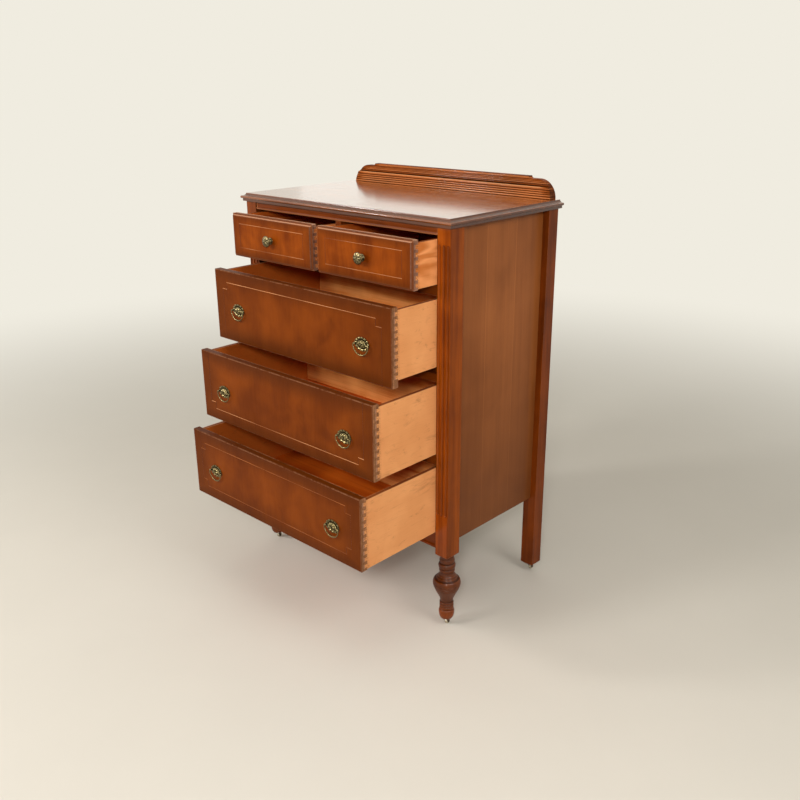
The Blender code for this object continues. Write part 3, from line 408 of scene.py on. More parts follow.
class Grain(Enum):
    """The axis that a board's fibres run along."""

    ACROSS = 0
    DEEP = 1
    UP = 2


@dataclass(frozen=True)
class Board:
    """One board: its box, its grain and the number that sets its figure apart.

    Its ends show on the faces across its grain, unless another axis is given for them. A drawer's side has a
    hand, the way that its outer face, the one without the inside's painted shade, looks along x, which is 0
    for a box with one on each side.
    """

    low: Vector
    high: Vector
    grain: Grain
    seed: int
    ends: Grain | None = None
    hand: float | None = None

    def sizes(self) -> Vector:
        """The board's size on each axis."""
        return self.high - self.low

    def longest(self, left_out: int) -> int:
        """The axis on which the board is longest, with one axis left out."""
        return max((axis for axis in range(3) if axis != left_out), key=lambda axis: self.sizes()[axis])


@dataclass(frozen=True)
class WoodFinish:
    """A stained, lacquered wood: two tones of the figure, and the colours of wear, board ends and painted
    light.
    """

    shade: Colour
    tint: Colour
    end: Colour
    glaze_and_shade: Colour
    worn_and_highlight: Colour = stain(176, 112, 72)
    stretch: float = 0.07
    figure: float = 8.0
    bands: float = 5.0
    band_share: float = 0.35
    cloud_share: float = 0.35
    pore_share: float = 0.30
    streak_share: float = 0.9
    roughness: float = 0.38
    specular: float = 0.22
    coat: float = 0.10
    coat_roughness: float = 0.16
    toner: float = 0.0
    toner_reach: float = 0.09
    wear: float = 0.0
    wear_reach: float = 0.0022
    boards: int = 1
    board_share: float = 0.2
    # Colour that multiplies a drawer's inner faces: painted shade inside the drawer.
    inner: Colour = (0.70, 0.36, 0.12)
    smear: float = 0.024
    # Share of painted shade in hollows.
    hollow_shade: float = 0.5
    coat_ior: float = 1.5
    # Share of painted shade towards the board's foot.
    sink: float = 0.0
    scuffs: float = 0.0
    rubbed_from: float = 0.50
    # How much the wear and painted highlight favour arrises that look up.
    upward_wear_and_highlight: float = 0.6
    # Share of painted highlight on ridges.
    ridge_highlight: float = 0.0
    joint_lift: float = 0.0
    polish: float = 0.0
    polish_height: float = 0.0
    # Colour of a drawer side's upward faces: a painted shade line.
    top_edge_shade: Colour = stain(112, 56, 20)
    edge_coat: float = 1.0

    def material(self, name: str, board: Board) -> bpy.types.Material:
        """Builds the finish for one board."""
        return WoodGraph(name, self, board).finished()


PORES = Marks(scale=950.0, low=0.60, high=0.72, detail=1.0, rough=0.5)
SCUFFS = (Marks(scale=70.0, low=0.57, high=0.77, detail=5.0, rough=0.72, bent=0.8),
          Marks(scale=15.0, low=0.54, high=0.74, detail=5.0, rough=0.72, bent=0.8))
SMEAR_SPOTS = Marks(scale=260.0, low=0.42, high=0.60, rough=0.65)
SAWN_PATCHES = Marks(scale=110.0, low=0.40, high=0.62, detail=4.0, rough=0.7)
GROWTH_LINES = Marks(scale=240.0, low=0.42, high=0.62, detail=2.0)


class WoodGraph(Graph):
    """One board's node tree: the figure, the layers that stain, soil and wear it, painted shade and
    highlights, and the lacquer.

    Its values hold for every wood: strengths, shares of a size, and spans as two limits, some with the
    strengths at both.
    """

    figure_step: tuple = (0.73, 1.37, 0.51)
    chip_step: float = 3.1
    panel_step: float = 7.3
    fine_stretch: float = 0.2
    streak_scale: float = 9.0
    fibre_scale: float = 620.0
    chip_scale: float = 90.0
    joint_span: tuple = (0.488, 0.498)
    toner_limit: float = 0.3
    toner_shares: tuple = (0.7, 0.5)
    toner_lift: float = 0.4
    sink_height: float = 0.75
    scuff_stretch: float = 0.35
    outer_fade: tuple = (0.5, 0.9, 1.0, 0.0)
    skin_span: tuple = (0.0005, 0.002)
    top_edge: tuple = (0.6, 0.9, 0.0, 0.9)
    smear_start: float = 0.4
    smear_share: float = 0.6
    joint_line: tuple = (0.0035, 0.0055, 0.92, 0.0)
    end_span: tuple = (0.75, 0.95)
    end_mottle: tuple = (0.1, 0.8, 0.45, 1.0)
    patch_tone: float = 0.65
    growth_tone: float = 0.35
    growth_share: float = 0.7
    growth_stretch: float = 0.02
    cloud_rub: float = 0.5
    rub_span: float = 0.3
    wear_span: tuple = (0.1, 0.6)
    coat_span: tuple = (0.6, 0.95)
    polish_fade: float = 0.004
    fibre_roughness: float = 0.16
    pore_roughness: float = 0.15
    fibre_height: float = 0.6
    bump_strength: float = 0.12
    bump_depth: float = 0.0004

    def __init__(self, name: str, finish: WoodFinish, board: Board) -> None:
        """Works out what the layers share: noises, the distances to the board's box and the bare colour.

        Args:
            name: Name of the material.
            finish: The wood.
            board: The board.
        """
        super().__init__(name)
        self.finish = finish
        self.board = board
        self.spot = self.axes(self.coordinates.outputs["Object"])
        self.gaps = [
            self.math("MINIMUM", self.math("SUBTRACT", spot, low), self.math("SUBTRACT", high, spot))
            for spot, low, high in zip(self.spot, board.low, board.high)]
        self.shift = tuple(step * board.seed for step in self.figure_step)
        fine = self.drawn_out(board.grain.value, finish.stretch * self.fine_stretch, self.shift)
        self.cloud = self.noise(self.place(self.shift), finish.figure, detail=2.0, rough=0.5, bent=0.4)
        self.fibre = self.noise(fine, self.fibre_scale, detail=2.0, rough=0.6)
        self.pore = self.marks(fine, PORES)
        # The hollow share: on wood it also sets painted shade, and below zero a painted highlight.
        self.sunken = self.hollow()
        self.colour = self.figured()

    def figured(self) -> Socket:
        """The bare wood. Its tone is the sum of contour bands of a stretched noise, long streaks, soft
        clouds and fibres, and its pores are dark.

        Returns:
            Its colour.
        """
        finish = self.finish
        long = self.drawn_out(self.board.grain.value, finish.stretch, self.shift)
        contour = self.noise(long, finish.figure, detail=2.0, rough=0.5, bent=0.6)
        streak = self.noise(long, finish.figure * self.streak_scale, detail=4.0, rough=0.6, bent=0.3)
        band = self.math("SINE", self.times(contour, 2 * math.pi * finish.bands))
        tone = self.math("MULTIPLY_ADD", band, finish.band_share / 2, NOISE_MEAN)
        for part, share in ((streak, finish.streak_share), (self.cloud, finish.cloud_share * 2),
                            (self.fibre, finish.streak_share / 2)):
            tone = self.total(tone, self.wander(part, share))
        if finish.boards > 1:
            tone = self.total(tone, self.board_tone())
        bare = self.mix(self.step(tone, 0.0, 1.0), finish.shade, finish.tint)
        return self.mix(self.times(self.pore, finish.pore_share), bare, finish.glaze_and_shade)

    def board_tone(self) -> Socket:
        """Gives each board of a glued-up panel its own tone, a noise read at the board's number, and lifts
        the tone along the joints between them.

        Returns:
            A tone to add, about zero on average.
        """
        board, finish = self.board, self.finish
        wide = board.longest(board.grain.value)
        across = self.math("SUBTRACT", self.spot[wide], board.low[wide])
        share = self.math("DIVIDE", across, board.sizes()[wide] / finish.boards)
        number = self.total(self.math("FLOOR", share), self.panel_step * board.seed)
        random = self.node("ShaderNodeTexWhiteNoise", {"noise_dimensions": "1D"}, {"W": number})
        tone = self.wander(random.outputs["Value"], finish.board_share)
        aside = self.math("ABSOLUTE", self.math("SUBTRACT", self.math("FRACT", share), 0.5))
        return self.total(tone, self.step(aside, *self.joint_span, 0.0, finish.joint_lift))

    def lay(self, share: Socket, layer: Socket | Colour) -> None:
        """Lays a colour over the colour so far."""
        self.colour = self.mix(share, self.colour, layer)

    def tone_edges(self) -> None:
        """Darkens the broad face towards its edges, unevenly, as a sprayed toner does."""
        finish, sizes = self.finish, self.board.sizes()
        broad = sorted(range(3), key=lambda axis: sizes[axis])[1:]
        reach = [min(finish.toner_reach, sizes[axis] * self.toner_limit) for axis in broad]
        near = [self.step(self.gaps[axis], 0.0, far, share, 0.0)
                for axis, far, share in zip(broad, reach, self.toner_shares)]
        uneven = self.total(self.cloud, self.toner_lift)
        self.lay(self.times(self.math("MAXIMUM", *near), uneven, finish.toner), finish.glaze_and_shade)

    def paint_low_shade(self) -> None:
        """Painted shade: darkens the board towards its foot."""
        low, height = self.board.low.z, self.board.sizes().z
        sunk = self.step(self.spot[2], low, low + self.sink_height * height, self.finish.sink, 0.0)
        self.lay(sunk, self.finish.glaze_and_shade)

    def scuff(self) -> None:
        """Marks the board with scuffs at two scales, drawn out along the grain."""
        handled = self.drawn_out(self.board.grain.value, self.scuff_stretch, self.shift)
        for marks in SCUFFS:
            self.lay(self.marks(handled, marks, self.finish.scuffs), self.finish.glaze_and_shade)

    def show_ends(self) -> None:
        """Gives the faces across an axis the colour of sawn board ends, in darker and paler patches, with
        dark growth lines along their longer side."""
        board, end = self.board, self.finish.end
        axis = (board.ends or board.grain).value
        facing = self.step(self.math("ABSOLUTE", self.facing(axis)), *self.end_span)
        mottle = self.step(self.fibre, *self.end_mottle)
        sawn = self.mix(self.marks(self.place(), SAWN_PATCHES), darker(end, self.patch_tone), end)
        lines = self.drawn_out(board.longest(axis), self.growth_stretch)
        growth = self.marks(lines, GROWTH_LINES, self.growth_share)
        self.lay(self.times(facing, mottle), self.mix(growth, sawn, darker(end, self.growth_tone)))

    def shade_and_smear_drawer(self) -> None:
        """Darkens a drawer's side on every face but its outer one, painted shade inside the drawer, and its
        upward faces, a painted shade line; smears stain over its joint and darkens the line where it meets
        the front."""
        finish, hand = self.finish, self.board.hand
        facing = self.facing(0)
        outer = self.times(facing, hand) if hand else self.math("ABSOLUTE", facing)
        inside = self.step(outer, *self.outer_fade)
        if not hand:
            inside = self.math("MAXIMUM", inside, self.step(self.gaps[0], *self.skin_span))
        # Painted shade: the inner faces are multiplied by a darker, more orange colour.
        self.colour = self.mix(inside, self.colour, finish.inner, Blend.SHADE_MULTIPLY)
        # Painted shade: the faces that look up turn dark.
        self.lay(self.step(self.facing(2), *self.top_edge), finish.top_edge_shade)
        away = self.math("SUBTRACT", self.spot[1], self.board.low.y)
        near = self.step(away, self.smear_start * finish.smear, finish.smear, self.smear_share, 0.0)
        self.lay(self.times(near, self.marks(self.place(), SMEAR_SPOTS)), finish.glaze_and_shade)
        self.lay(self.step(away, *self.joint_line), finish.end)

    def wear_and_highlight_arrises(self) -> None:
        """Lightens the arrises, where the middle one of the three distances to the box is small, in patches:
        partly wear where hands and dusters have rubbed, and partly a painted highlight, most of all where
        they look up."""
        finish = self.finish
        first, second, third = self.gaps
        greater = self.math("MINIMUM", self.math("MAXIMUM", first, second), third)
        middle = self.math("MAXIMUM", self.math("MINIMUM", first, second), greater)
        near = self.step(middle, 0.0, finish.wear_reach, 1.0, 0.0)
        place = self.place((self.chip_step * self.board.seed, 0.0, 0.0))
        chips = self.noise(place, self.chip_scale, detail=4.0, rough=0.7)
        rub = self.total(chips, self.times(self.cloud, self.cloud_rub))
        rubbed = self.step(rub, finish.rubbed_from, finish.rubbed_from + self.rub_span)
        least = (1.0 - finish.upward_wear_and_highlight) * finish.wear
        upward = self.step(self.facing(2), *self.wear_span, least, finish.wear)
        # Wear and painted highlight: the arrises go towards the pale colour.
        self.lay(self.times(near, rubbed, upward), finish.worn_and_highlight)

    def lacquer(self) -> Socket:
        """The lacquer's share, which is less in hollows and may be less on faces that don't look up. A
        polish covers the board up to a height.

        Returns:
            Weight of the coat.
        """
        finish = self.finish
        shine = self.times(self.math("SUBTRACT", 1.0, self.sunken), finish.coat)
        if finish.edge_coat < 1.0:
            level = self.step(self.facing(2), *self.coat_span, finish.edge_coat, 1.0)
            shine = self.times(shine, level)
        if finish.polish:
            top = self.board.low.z + finish.polish_height
            polish = self.step(self.spot[2], top - self.polish_fade, top, finish.polish, 0.0)
            shine = self.math("MAXIMUM", shine, polish)
        return shine

    def finished(self) -> bpy.types.Material:
        """Lays the layers that the finish has, in order; hollows get painted shade and ridges a painted
        highlight.

        Returns:
            The material.
        """
        finish = self.finish
        lined = self.board.hand is not None
        for wanted, layer in ((finish.toner, self.tone_edges), (finish.sink, self.paint_low_shade),
                              (finish.scuffs, self.scuff), (True, self.show_ends),
                              (lined, self.shade_and_smear_drawer), (finish.wear, self.wear_and_highlight_arrises)):
            if wanted:
                layer()
        # Painted shade: the colour goes towards the glaze colour by the hollow share, in grooves and flutes
        # and on some faces that are not hollow, such as the posts' sides and the top's edge.
        self.lay(self.times(self.sunken, finish.hollow_shade), finish.glaze_and_shade)
        # Painted highlight: ridges, whose hollow share is below zero, are lightened towards the pale colour.
        if finish.ridge_highlight:
            self.lay(self.times(self.sunken, -finish.ridge_highlight), finish.worn_and_highlight)
        rough = self.total(self.wander(self.fibre, self.fibre_roughness), finish.roughness,
                           self.times(self.pore, self.pore_roughness))
        height = self.math("SUBTRACT", self.times(self.fibre, self.fibre_height), self.pore)
        self.shade({"Base Color": self.colour, "Roughness": rough,
                    "Normal": self.relief(height, self.bump_strength, self.bump_depth),
                    "Specular IOR Level": finish.specular, "Coat Weight": self.lacquer(),
                    "Coat Roughness": finish.coat_roughness, "Coat IOR": finish.coat_ior})
        return self.material


@dataclass(frozen=True)
class MetalFinish:
    """An aged metal: bright where it is rubbed, dark in its hollows, with spots of tarnish."""

    bright: Colour
    tarnish: Colour
    grime: Colour
    roughness: float
    tarnish_share: float
    spot_scale: float = 160.0
    spot_step: tuple = (0.31, 0.17, 0.23)
    grit_scale: float = 9.0
    tarnish_span: tuple = (0.35, 0.68)
    grime_spots: float = 0.25
    grime_span: tuple = (0.25, 0.95)
    spot_roughness: float = 0.22
    grime_roughness: float = 0.25
    bump_strength: float = 0.12
    bump_depth: float = 0.0003

    def material(self, name: str, seed: int) -> bpy.types.Material:
        """Builds the finish.

        Args:
            name: Name of the material.
            seed: Number that sets this piece's tarnish apart.

        Returns:
            The material.
        """
        graph = Graph(name)
        place = graph.place(tuple(step * seed for step in self.spot_step))
        spots = graph.noise(place, self.spot_scale, detail=4.0, rough=0.65, bent=0.5)
        grit = graph.noise(place, self.spot_scale * self.grit_scale, detail=2.0, rough=0.6)
        tarnished = graph.step(spots, *self.tarnish_span, 0.0, self.tarnish_share)
        sunken = graph.total(graph.hollow(), graph.times(spots, self.grime_spots))
        grimy = graph.step(sunken, *self.grime_span)
        colour = graph.mix(grimy, graph.mix(tarnished, self.bright, self.tarnish), self.grime)
        rough = graph.total(graph.wander(spots, self.spot_roughness), self.roughness,
                            graph.times(grimy, self.grime_roughness))
        normal = graph.relief(graph.total(spots, grit), self.bump_strength, self.bump_depth)
        graph.shade({"Base Color": colour, "Metallic": 1.0, "Roughness": rough, "Normal": normal})
        return graph.material


RED_WALNUT = WoodFinish(
    shade=stain(78, 30, 2), tint=stain(130, 58, 10), end=stain(96, 48, 18), glaze_and_shade=stain(34, 11, 2),
    stretch=0.05, band_share=0.25, wear=0.55, specular=0.08, coat_roughness=0.10)
# The rail's arrises are lightened all along and on every side: a painted highlight, as on a bead.
RAIL_WALNUT = replace(RED_WALNUT, wear=0.9, wear_reach=0.006, rubbed_from=0.15, upward_wear_and_highlight=0.0)
TURNED_WALNUT = replace(
    RED_WALNUT, shade=stain(116, 48, 2), tint=stain(174, 83, 12), glaze_and_shade=stain(34, 13, 3), wear=0.0,
    specular=0.06, coat=0.17, coat_roughness=0.09, coat_ior=1.7, hollow_shade=0.85, polish=0.28,
    polish_height=0.216)
# The left post's wood is a darker copy: painted shade, for the less light that falls on it.
POST_WALNUT_LEFT_SHADED = {Side.LEFT: replace(TURNED_WALNUT, shade=stain(90, 37, 2), tint=stain(136, 63, 9)),
               Side.RIGHT: TURNED_WALNUT}
# The gallery's ridges take a painted highlight and its hollows painted shade.
GALLERY_WALNUT = replace(
    RED_WALNUT, shade=stain(102, 42, 1), tint=stain(162, 76, 6), worn_and_highlight=stain(232, 164, 108),
    glaze_and_shade=stain(24, 8, 2), wear=0.4, specular=0.02, coat=0.08, coat_ior=1.7, hollow_shade=0.95,
    ridge_highlight=0.5)
FRONT_VENEER = WoodFinish(
    shade=stain(90, 36, 1), tint=stain(129, 60, 8), worn_and_highlight=stain(150, 104, 74), end=stain(170, 118, 82),
    glaze_and_shade=stain(50, 20, 3), stretch=0.16, figure=11.0, bands=2.0, band_share=0.12, cloud_share=0.5,
    streak_share=0.26, pore_share=0.15, toner=0.85, toner_reach=0.12, wear=0.95, wear_reach=0.004,
    specular=0.04, coat=0.03, coat_roughness=0.12, rubbed_from=0.56)
# The small fronts' arrises are lightened in a broad band, strongest where they look up: a painted highlight
# along the rounded top arris, with some wear.
SMALL_VENEER = replace(
    FRONT_VENEER, shade=stain(96, 36, 1), tint=stain(150, 70, 10), worn_and_highlight=stain(228, 172, 134),
    end=stain(150, 108, 88), figure=13.0, band_share=0.16, streak_share=0.4, toner=0.8, toner_reach=0.05,
    wear_reach=0.010, coat=0.04, rubbed_from=0.22, upward_wear_and_highlight=0.85)
# The side panels darken towards their foot: painted shade.
SIDE_VENEER = WoodFinish(
    shade=stain(114, 60, 22), tint=stain(160, 94, 46), end=stain(110, 62, 34), glaze_and_shade=stain(60, 27, 9),
    stretch=0.04, figure=5.0, bands=3.0, band_share=0.12, cloud_share=0.34, streak_share=0.36,
    pore_share=0.2, toner=0.18, specular=0.12, coat=0.06, coat_roughness=0.2, boards=3, board_share=0.16,
    sink=0.4, joint_lift=0.35)
TOP_WOOD = WoodFinish(
    shade=stain(120, 56, 14), tint=stain(178, 98, 36), end=stain(96, 48, 22), glaze_and_shade=stain(58, 27, 14),
    stretch=0.05, coat=1.0, coat_roughness=0.13, coat_ior=2.5, roughness=0.22, boards=4, specular=0.6,
    hollow_shade=0.95, edge_coat=0.12)
DRAWER_LINING = WoodFinish(
    shade=stain(208, 136, 80), tint=stain(232, 162, 104), worn_and_highlight=stain(240, 184, 132), end=stain(146, 104, 82),
    glaze_and_shade=stain(110, 54, 22), stretch=0.06, figure=9.0, bands=2.0, band_share=0.10, cloud_share=0.42,
    streak_share=0.20, pore_share=0.08, roughness=0.58, specular=0.12, coat=0.0, coat_roughness=0.4,
    wear=0.4, scuffs=0.45)
SMALL_LINING = replace(
    DRAWER_LINING, shade=stain(186, 102, 42), tint=stain(236, 158, 98), end=stain(132, 94, 76), stretch=0.14,
    figure=13.0, bands=8.0, band_share=0.5, cloud_share=0.3, streak_share=0.25, scuffs=0.0)
DRAWER_BACK = WoodFinish(
    shade=stain(206, 100, 30), tint=stain(252, 168, 92), end=stain(130, 66, 26), glaze_and_shade=stain(90, 42, 12),
    stretch=0.04, figure=10.0, bands=3.0, band_share=0.5, pore_share=0.15, roughness=0.55, specular=0.08,
    coat=0.0, coat_roughness=0.4)
DRAWER_BOTTOM = replace(
    DRAWER_BACK, shade=stain(184, 72, 8), tint=stain(224, 108, 26), end=stain(140, 74, 30),
    glaze_and_shade=stain(100, 48, 16), stretch=0.03, figure=7.0, bands=7.0, band_share=0.4)
BACK_PLY = WoodFinish(
    shade=stain(124, 76, 40), tint=stain(172, 116, 68), end=stain(110, 66, 36), glaze_and_shade=stain(84, 48, 24),
    stretch=0.05, figure=6.0, bands=8.0, band_share=0.45, roughness=0.66, coat=0.0, boards=2)
# The strings' colours are partly inlay and partly painted light: pale level lines with a painted highlight,
# dark uprights with painted shade, and fainter level lines on the lower drawer.
PALE_STRING_AND_HIGHLIGHT = WoodFinish(
    shade=stain(116, 54, 12), tint=stain(214, 148, 96), end=stain(180, 110, 60), glaze_and_shade=stain(110, 56, 20),
    stretch=0.05, figure=6.0, cloud_share=1.1, streak_share=0.3, specular=0.1, coat=0.05)
FAINT_STRING_AND_HIGHLIGHT = replace(PALE_STRING_AND_HIGHLIGHT, shade=stain(112, 50, 6), tint=stain(166, 96, 46))
DARK_STRING_AND_SHADE = WoodFinish(
    shade=stain(62, 22, 4), tint=stain(104, 46, 12), end=stain(80, 36, 12), glaze_and_shade=stain(36, 14, 4),
    stretch=0.05, figure=30.0, specular=0.1, coat=0.05)
AGED_BRASS = MetalFinish(bright=stain(140, 125, 86), tarnish=stain(88, 78, 50), grime=stain(24, 20, 10),
                         roughness=0.28, tarnish_share=0.85)
DULL_BRASS = MetalFinish(bright=stain(126, 112, 80), tarnish=stain(74, 65, 42), grime=stain(26, 22, 14),
                         roughness=0.34, tarnish_share=0.85)
CASTOR_IRON = MetalFinish(bright=stain(92, 80, 66), tarnish=stain(52, 40, 30), grime=stain(22, 18, 14),
                          roughness=0.45, tarnish_share=0.8, spot_scale=240.0)
CASTOR_STEEL = MetalFinish(bright=stain(206, 198, 178), tarnish=stain(142, 122, 94), grime=stain(60, 50, 38),
                           roughness=0.26, tarnish_share=0.5, spot_scale=300.0)


@dataclass
class Dresser:
    """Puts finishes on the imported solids, giving each board its own figure."""

    seed: int = 0

    def next_seed(self) -> int:
        """The next board's number."""
        self.seed += 1
        return self.seed

    def wood(self, name: str, node: str, finish: WoodFinish, grain: Grain, ends: Grain | None = None,
             hand: float | None = None) -> bpy.types.Material:
        """Builds a wood finish for a board that fills a solid's box."""
        low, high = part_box(node)
        return finish.material(name, Board(low, high, grain, self.next_seed(), ends, hand))

    def dress(self, node: str, finish: WoodFinish, grain: Grain, ends: Grain | None = None,
              hand: float | None = None) -> None:
        """Puts a wood finish in every slot of a solid.

        Args:
            node: Name of the solid.
            finish: Its wood.
            grain: Axis of its fibres.
            ends: Axis whose faces show board ends, if not the grain's.
            hand: For a drawer's side, the way its outer face, without the inside's painted shade, looks
                along x; 0 for both ways.
        """
        material = self.wood(node + "_finish", node, finish, grain, ends, hand)
        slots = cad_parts[node].data.materials
        for index in range(len(slots)):
            slots[index] = material
        if not slots:
            slots.append(material)
        LOG.info("solid %s: %s", node, material.name)


@dataclass
class FrontPost:
    """A front post: a square with stopped flutes down its face, turned into a leg below the case."""

    dresser: Dresser
    width: float = 0.046
    depth: float = 0.054
    arris: float = 0.0009
    flute_count: int = 3
    flute_pitch: float = 0.0150
    flute_width: float = 0.0096
    flute_depth: float = 0.0036
    flute_top: float = 1.1480
    flute_bottom: float = 0.3720
    pommel_round: float = 0.006
    foot_height: float = 0.0345
    foot_rise: float = 0.0260
    foot_radius: float = 0.0235
    foot_base_radius: float = 0.0125
    ankle_rings: int = 3
    ankle_ring_height: float = 0.0085
    ankle_radius: float = 0.0185
    ankle_bulge: float = 0.0028
    taper_height: float = 0.0640
    bulb_radius: float = 0.0415
    shoulder_height: float = 0.0160
    shoulder_radius: float = 0.0335
    flare_height: float = 0.0200
    ring_bulge: float = 0.0012
    ring_reach: float = 0.6
    neck_radius: float = 0.0205
    collar_height: float = 0.0120
    collar_bulge: float = 0.0030
    neck_bead_height: float = 0.0180
    neck_bead_bulge: float = 0.0050
    neck_ring_height: float = 0.0140
    neck_ring_bulge: float = 0.0020
    pommel_height: float = 0.0110
    score_depth: float = 0.0010
    score_height: float = 0.0024
    belly_scores: tuple = (0.0070, 0.0150)
    leg_dark: float = 0.82
    foot_dark: float = 0.32
    foot_span: tuple = (0.020, 0.060)
    flute_shade: float = 0.30
    side_shade: float = 0.38
    side_columns: int = 13
    belly_curve: float = 0.75
    score_spread: float = 0.0008
    stop_rows: int = 26
    stop_margin: float = 0.001
    dip_span: float = 0.008
    dip_depth: float = 0.0012
    on_face: float = 1e-7

    def flute_lines(self) -> Array:
        """Middle lines of the flutes, about the post's middle."""
        return (np.arange(self.flute_count) - (self.flute_count - 1) / 2) * self.flute_pitch

    def perimeter(self) -> Array:
        """Points round the square section, from the left end of its face: eased corners and close columns
        across the flutes, set at the cosine of even angles so that they fall on the flutes' edges.

        Returns:
            Points about the section's middle, columns by two.
        """
        half_x = self.width / 2 - self.arris
        half_y = self.depth / 2 - self.arris
        across = -np.cos(np.linspace(0.0, np.pi, num=15)) * self.flute_width / 2
        front = np.concatenate([[-half_x], (self.flute_lines()[:, None] + across).ravel(), [half_x]])
        face = joined(front, -half_y - self.arris)
        side = joined(half_x + self.arris, np.linspace(-half_y, half_y, self.side_columns))
        rear = joined(np.linspace(half_x, -half_x, self.side_columns), half_y + self.arris)
        turns = ((face, half_x, -half_y, 270), (side, half_x, half_y, 0), (rear, -half_x, half_y, 90),
                 (side[::-1] * (-1.0, 1.0), -half_x, -half_y, 180))
        runs = []
        for run, x, y, start in turns:
            runs += [run, arc((x, y), (self.arris, self.arris), start, start + 90, steps=4)[1:-1]]
        return np.concatenate(runs)

    def leg(self, floor: float) -> Array:
        """The turned leg's outline, from the castor up to the square.

        Args:
            floor: Height of the leg's lower end.

        Returns:
            (radius, height) points.
        """
        ankle = floor + self.foot_height
        waist = ankle + self.ankle_rings * self.ankle_ring_height
        bulb = waist + self.taper_height
        shoulder = bulb + self.shoulder_height
        collar = shoulder + self.flare_height
        foot = floor + self.foot_rise
        belly_top = bulb - self.score_height
        rim = self.shoulder_radius + self.score_depth
        rings = [(self.ankle_bulge, self.ankle_ring_height)] * self.ankle_rings
        neck = [(self.collar_bulge, self.collar_height), (self.neck_bead_bulge, self.neck_bead_height),
                (self.neck_ring_bulge, self.neck_ring_height)]
        square = collar + sum(height for _, height in neck) + self.pommel_height
        return np.concatenate([
            arc((self.foot_base_radius, foot), (self.foot_radius - self.foot_base_radius, self.foot_rise),
                -90, 0, steps=14),
            arc((self.ankle_radius, foot), (self.foot_radius - self.ankle_radius, ankle - foot), 0, 90,
                steps=10)[1:],
            beads(self.ankle_radius, ankle, rings),
            self.belly(waist, belly_top),
            self.score(self.bulb_radius, self.bulb_radius, belly_top),
            arc((rim, bulb), (self.bulb_radius - rim, self.shoulder_height - self.score_height), 0, 90,
                steps=12)[1:],
            self.score(rim, self.shoulder_radius, shoulder - self.score_height),
            self.flare(shoulder),
            beads(self.neck_radius, collar, neck),
            [[self.neck_radius, square]]])

    def belly(self, low: float, high: float) -> Array:
        """The belly: the radius grows from the ankle's to the bulb's by a smooth step mixed with a straight
        line, less a narrow bell curve at each scored line.

        Args:
            low: Height of its waist.
            high: Height of its widest ring.

        Returns:
            (radius, height) points above the waist.
        """
        share = shares(steps=120)
        height = low + share * (high - low)
        growth = self.belly_curve * swell(share, 0.0, 1.0) + (1 - self.belly_curve) * share
        radius = self.ankle_radius + (self.bulb_radius - self.ankle_radius) * growth
        scores = bell(height[:, None], high - np.array(self.belly_scores), self.score_spread).sum(axis=1)
        return joined(radius - self.score_depth * scores, height)

    def flare(self, low: float) -> Array:
        """The flare from the shoulder in to the neck: the radius falls halfway between a straight line and
        a quarter ellipse, and two fine rings, each a squared sine, stand on its lower part.

        Args:
            low: Height of the shoulder.

        Returns:
            (radius, height) points above the shoulder.
        """
        share = shares(steps=60)
        fall = (share + rounded(1 - share)) / 2
        rings = np.sin(2 * np.pi * np.minimum(share / self.ring_reach, 1.0)) ** 2
        radius = self.shoulder_radius - (self.shoulder_radius - self.neck_radius) * fall
        return joined(radius + self.ring_bulge * rings, low + share * self.flare_height)

    def score(self, low_radius: float, high_radius: float, height: float) -> Array:
        """A scored line: the radius dips by the score's depth, as a sine, halfway up its height.

        Args:
            low_radius: Radius below it.
            high_radius: Radius above it.
            height: Height of its lower edge.

        Returns:
            (radius, height) points above its lower edge.
        """
        share = shares(steps=6)
        radius = low_radius + (high_radius - low_radius) * share - self.score_depth * np.sin(np.pi * share)
        return joined(radius, height + share * self.score_height)

    def flute(self, across: Array, height: Array) -> Array:
        """Depth of the flutes at places on the face: a round gouge of the distance from a flute's line.

        Args:
            across: Distance from the post's middle.
            height: Height above the floor.

        Returns:
            Depth at each place.
        """
        half = self.flute_width / 2
        gouge = (half ** 2 + self.flute_depth ** 2) / (2 * self.flute_depth)
        aside = np.abs(across[..., None] - self.flute_lines()).min(axis=-1)
        past = height - np.clip(height, self.flute_bottom + gouge, self.flute_top - gouge)
        sunk = gouge * rounded(np.hypot(aside, past) / gouge) - (gouge - self.flute_depth)
        return np.maximum(sunk, 0.0)

    def rows(self, square: float, top: float) -> Array:
        """Heights of the square section's rows, close over the pommel and over both ends of the flutes.

        Args:
            square: Height where the square begins.
            top: Height of the post's upper end.

        Returns:
            The heights, rising.
        """
        over = self.pommel_round
        pommel = arc((0.0, square + over), (over, over), -90, 0, steps=8)[:, 1]
        low, high, stop = self.flute_bottom, self.flute_top, self.flute_width
        return np.concatenate([
            pommel, np.linspace(pommel[-1], low - stop, num=4)[1:],
            np.linspace(low - self.stop_margin, low + stop, self.stop_rows),
            np.linspace(low + stop, high - stop, num=14)[1:],
            np.linspace(high - stop, high + self.stop_margin, self.stop_rows)[1:], [top]])

    def build(self, side: Side) -> None:
        """Builds the post: the turned outline below, then the square section carried up with its flutes. The
        section is drawn in over the pommel by a quarter circle.

        Args:
            side: Its side of the case.
        """
        node = "front_post_" + side.value
        low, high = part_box(node)
        middle = (low + high) / 2
        loop = self.perimeter()
        leg = self.leg(low.z)
        turned = spun(leg, np.arctan2(loop[:, 1], loop[:, 0]))
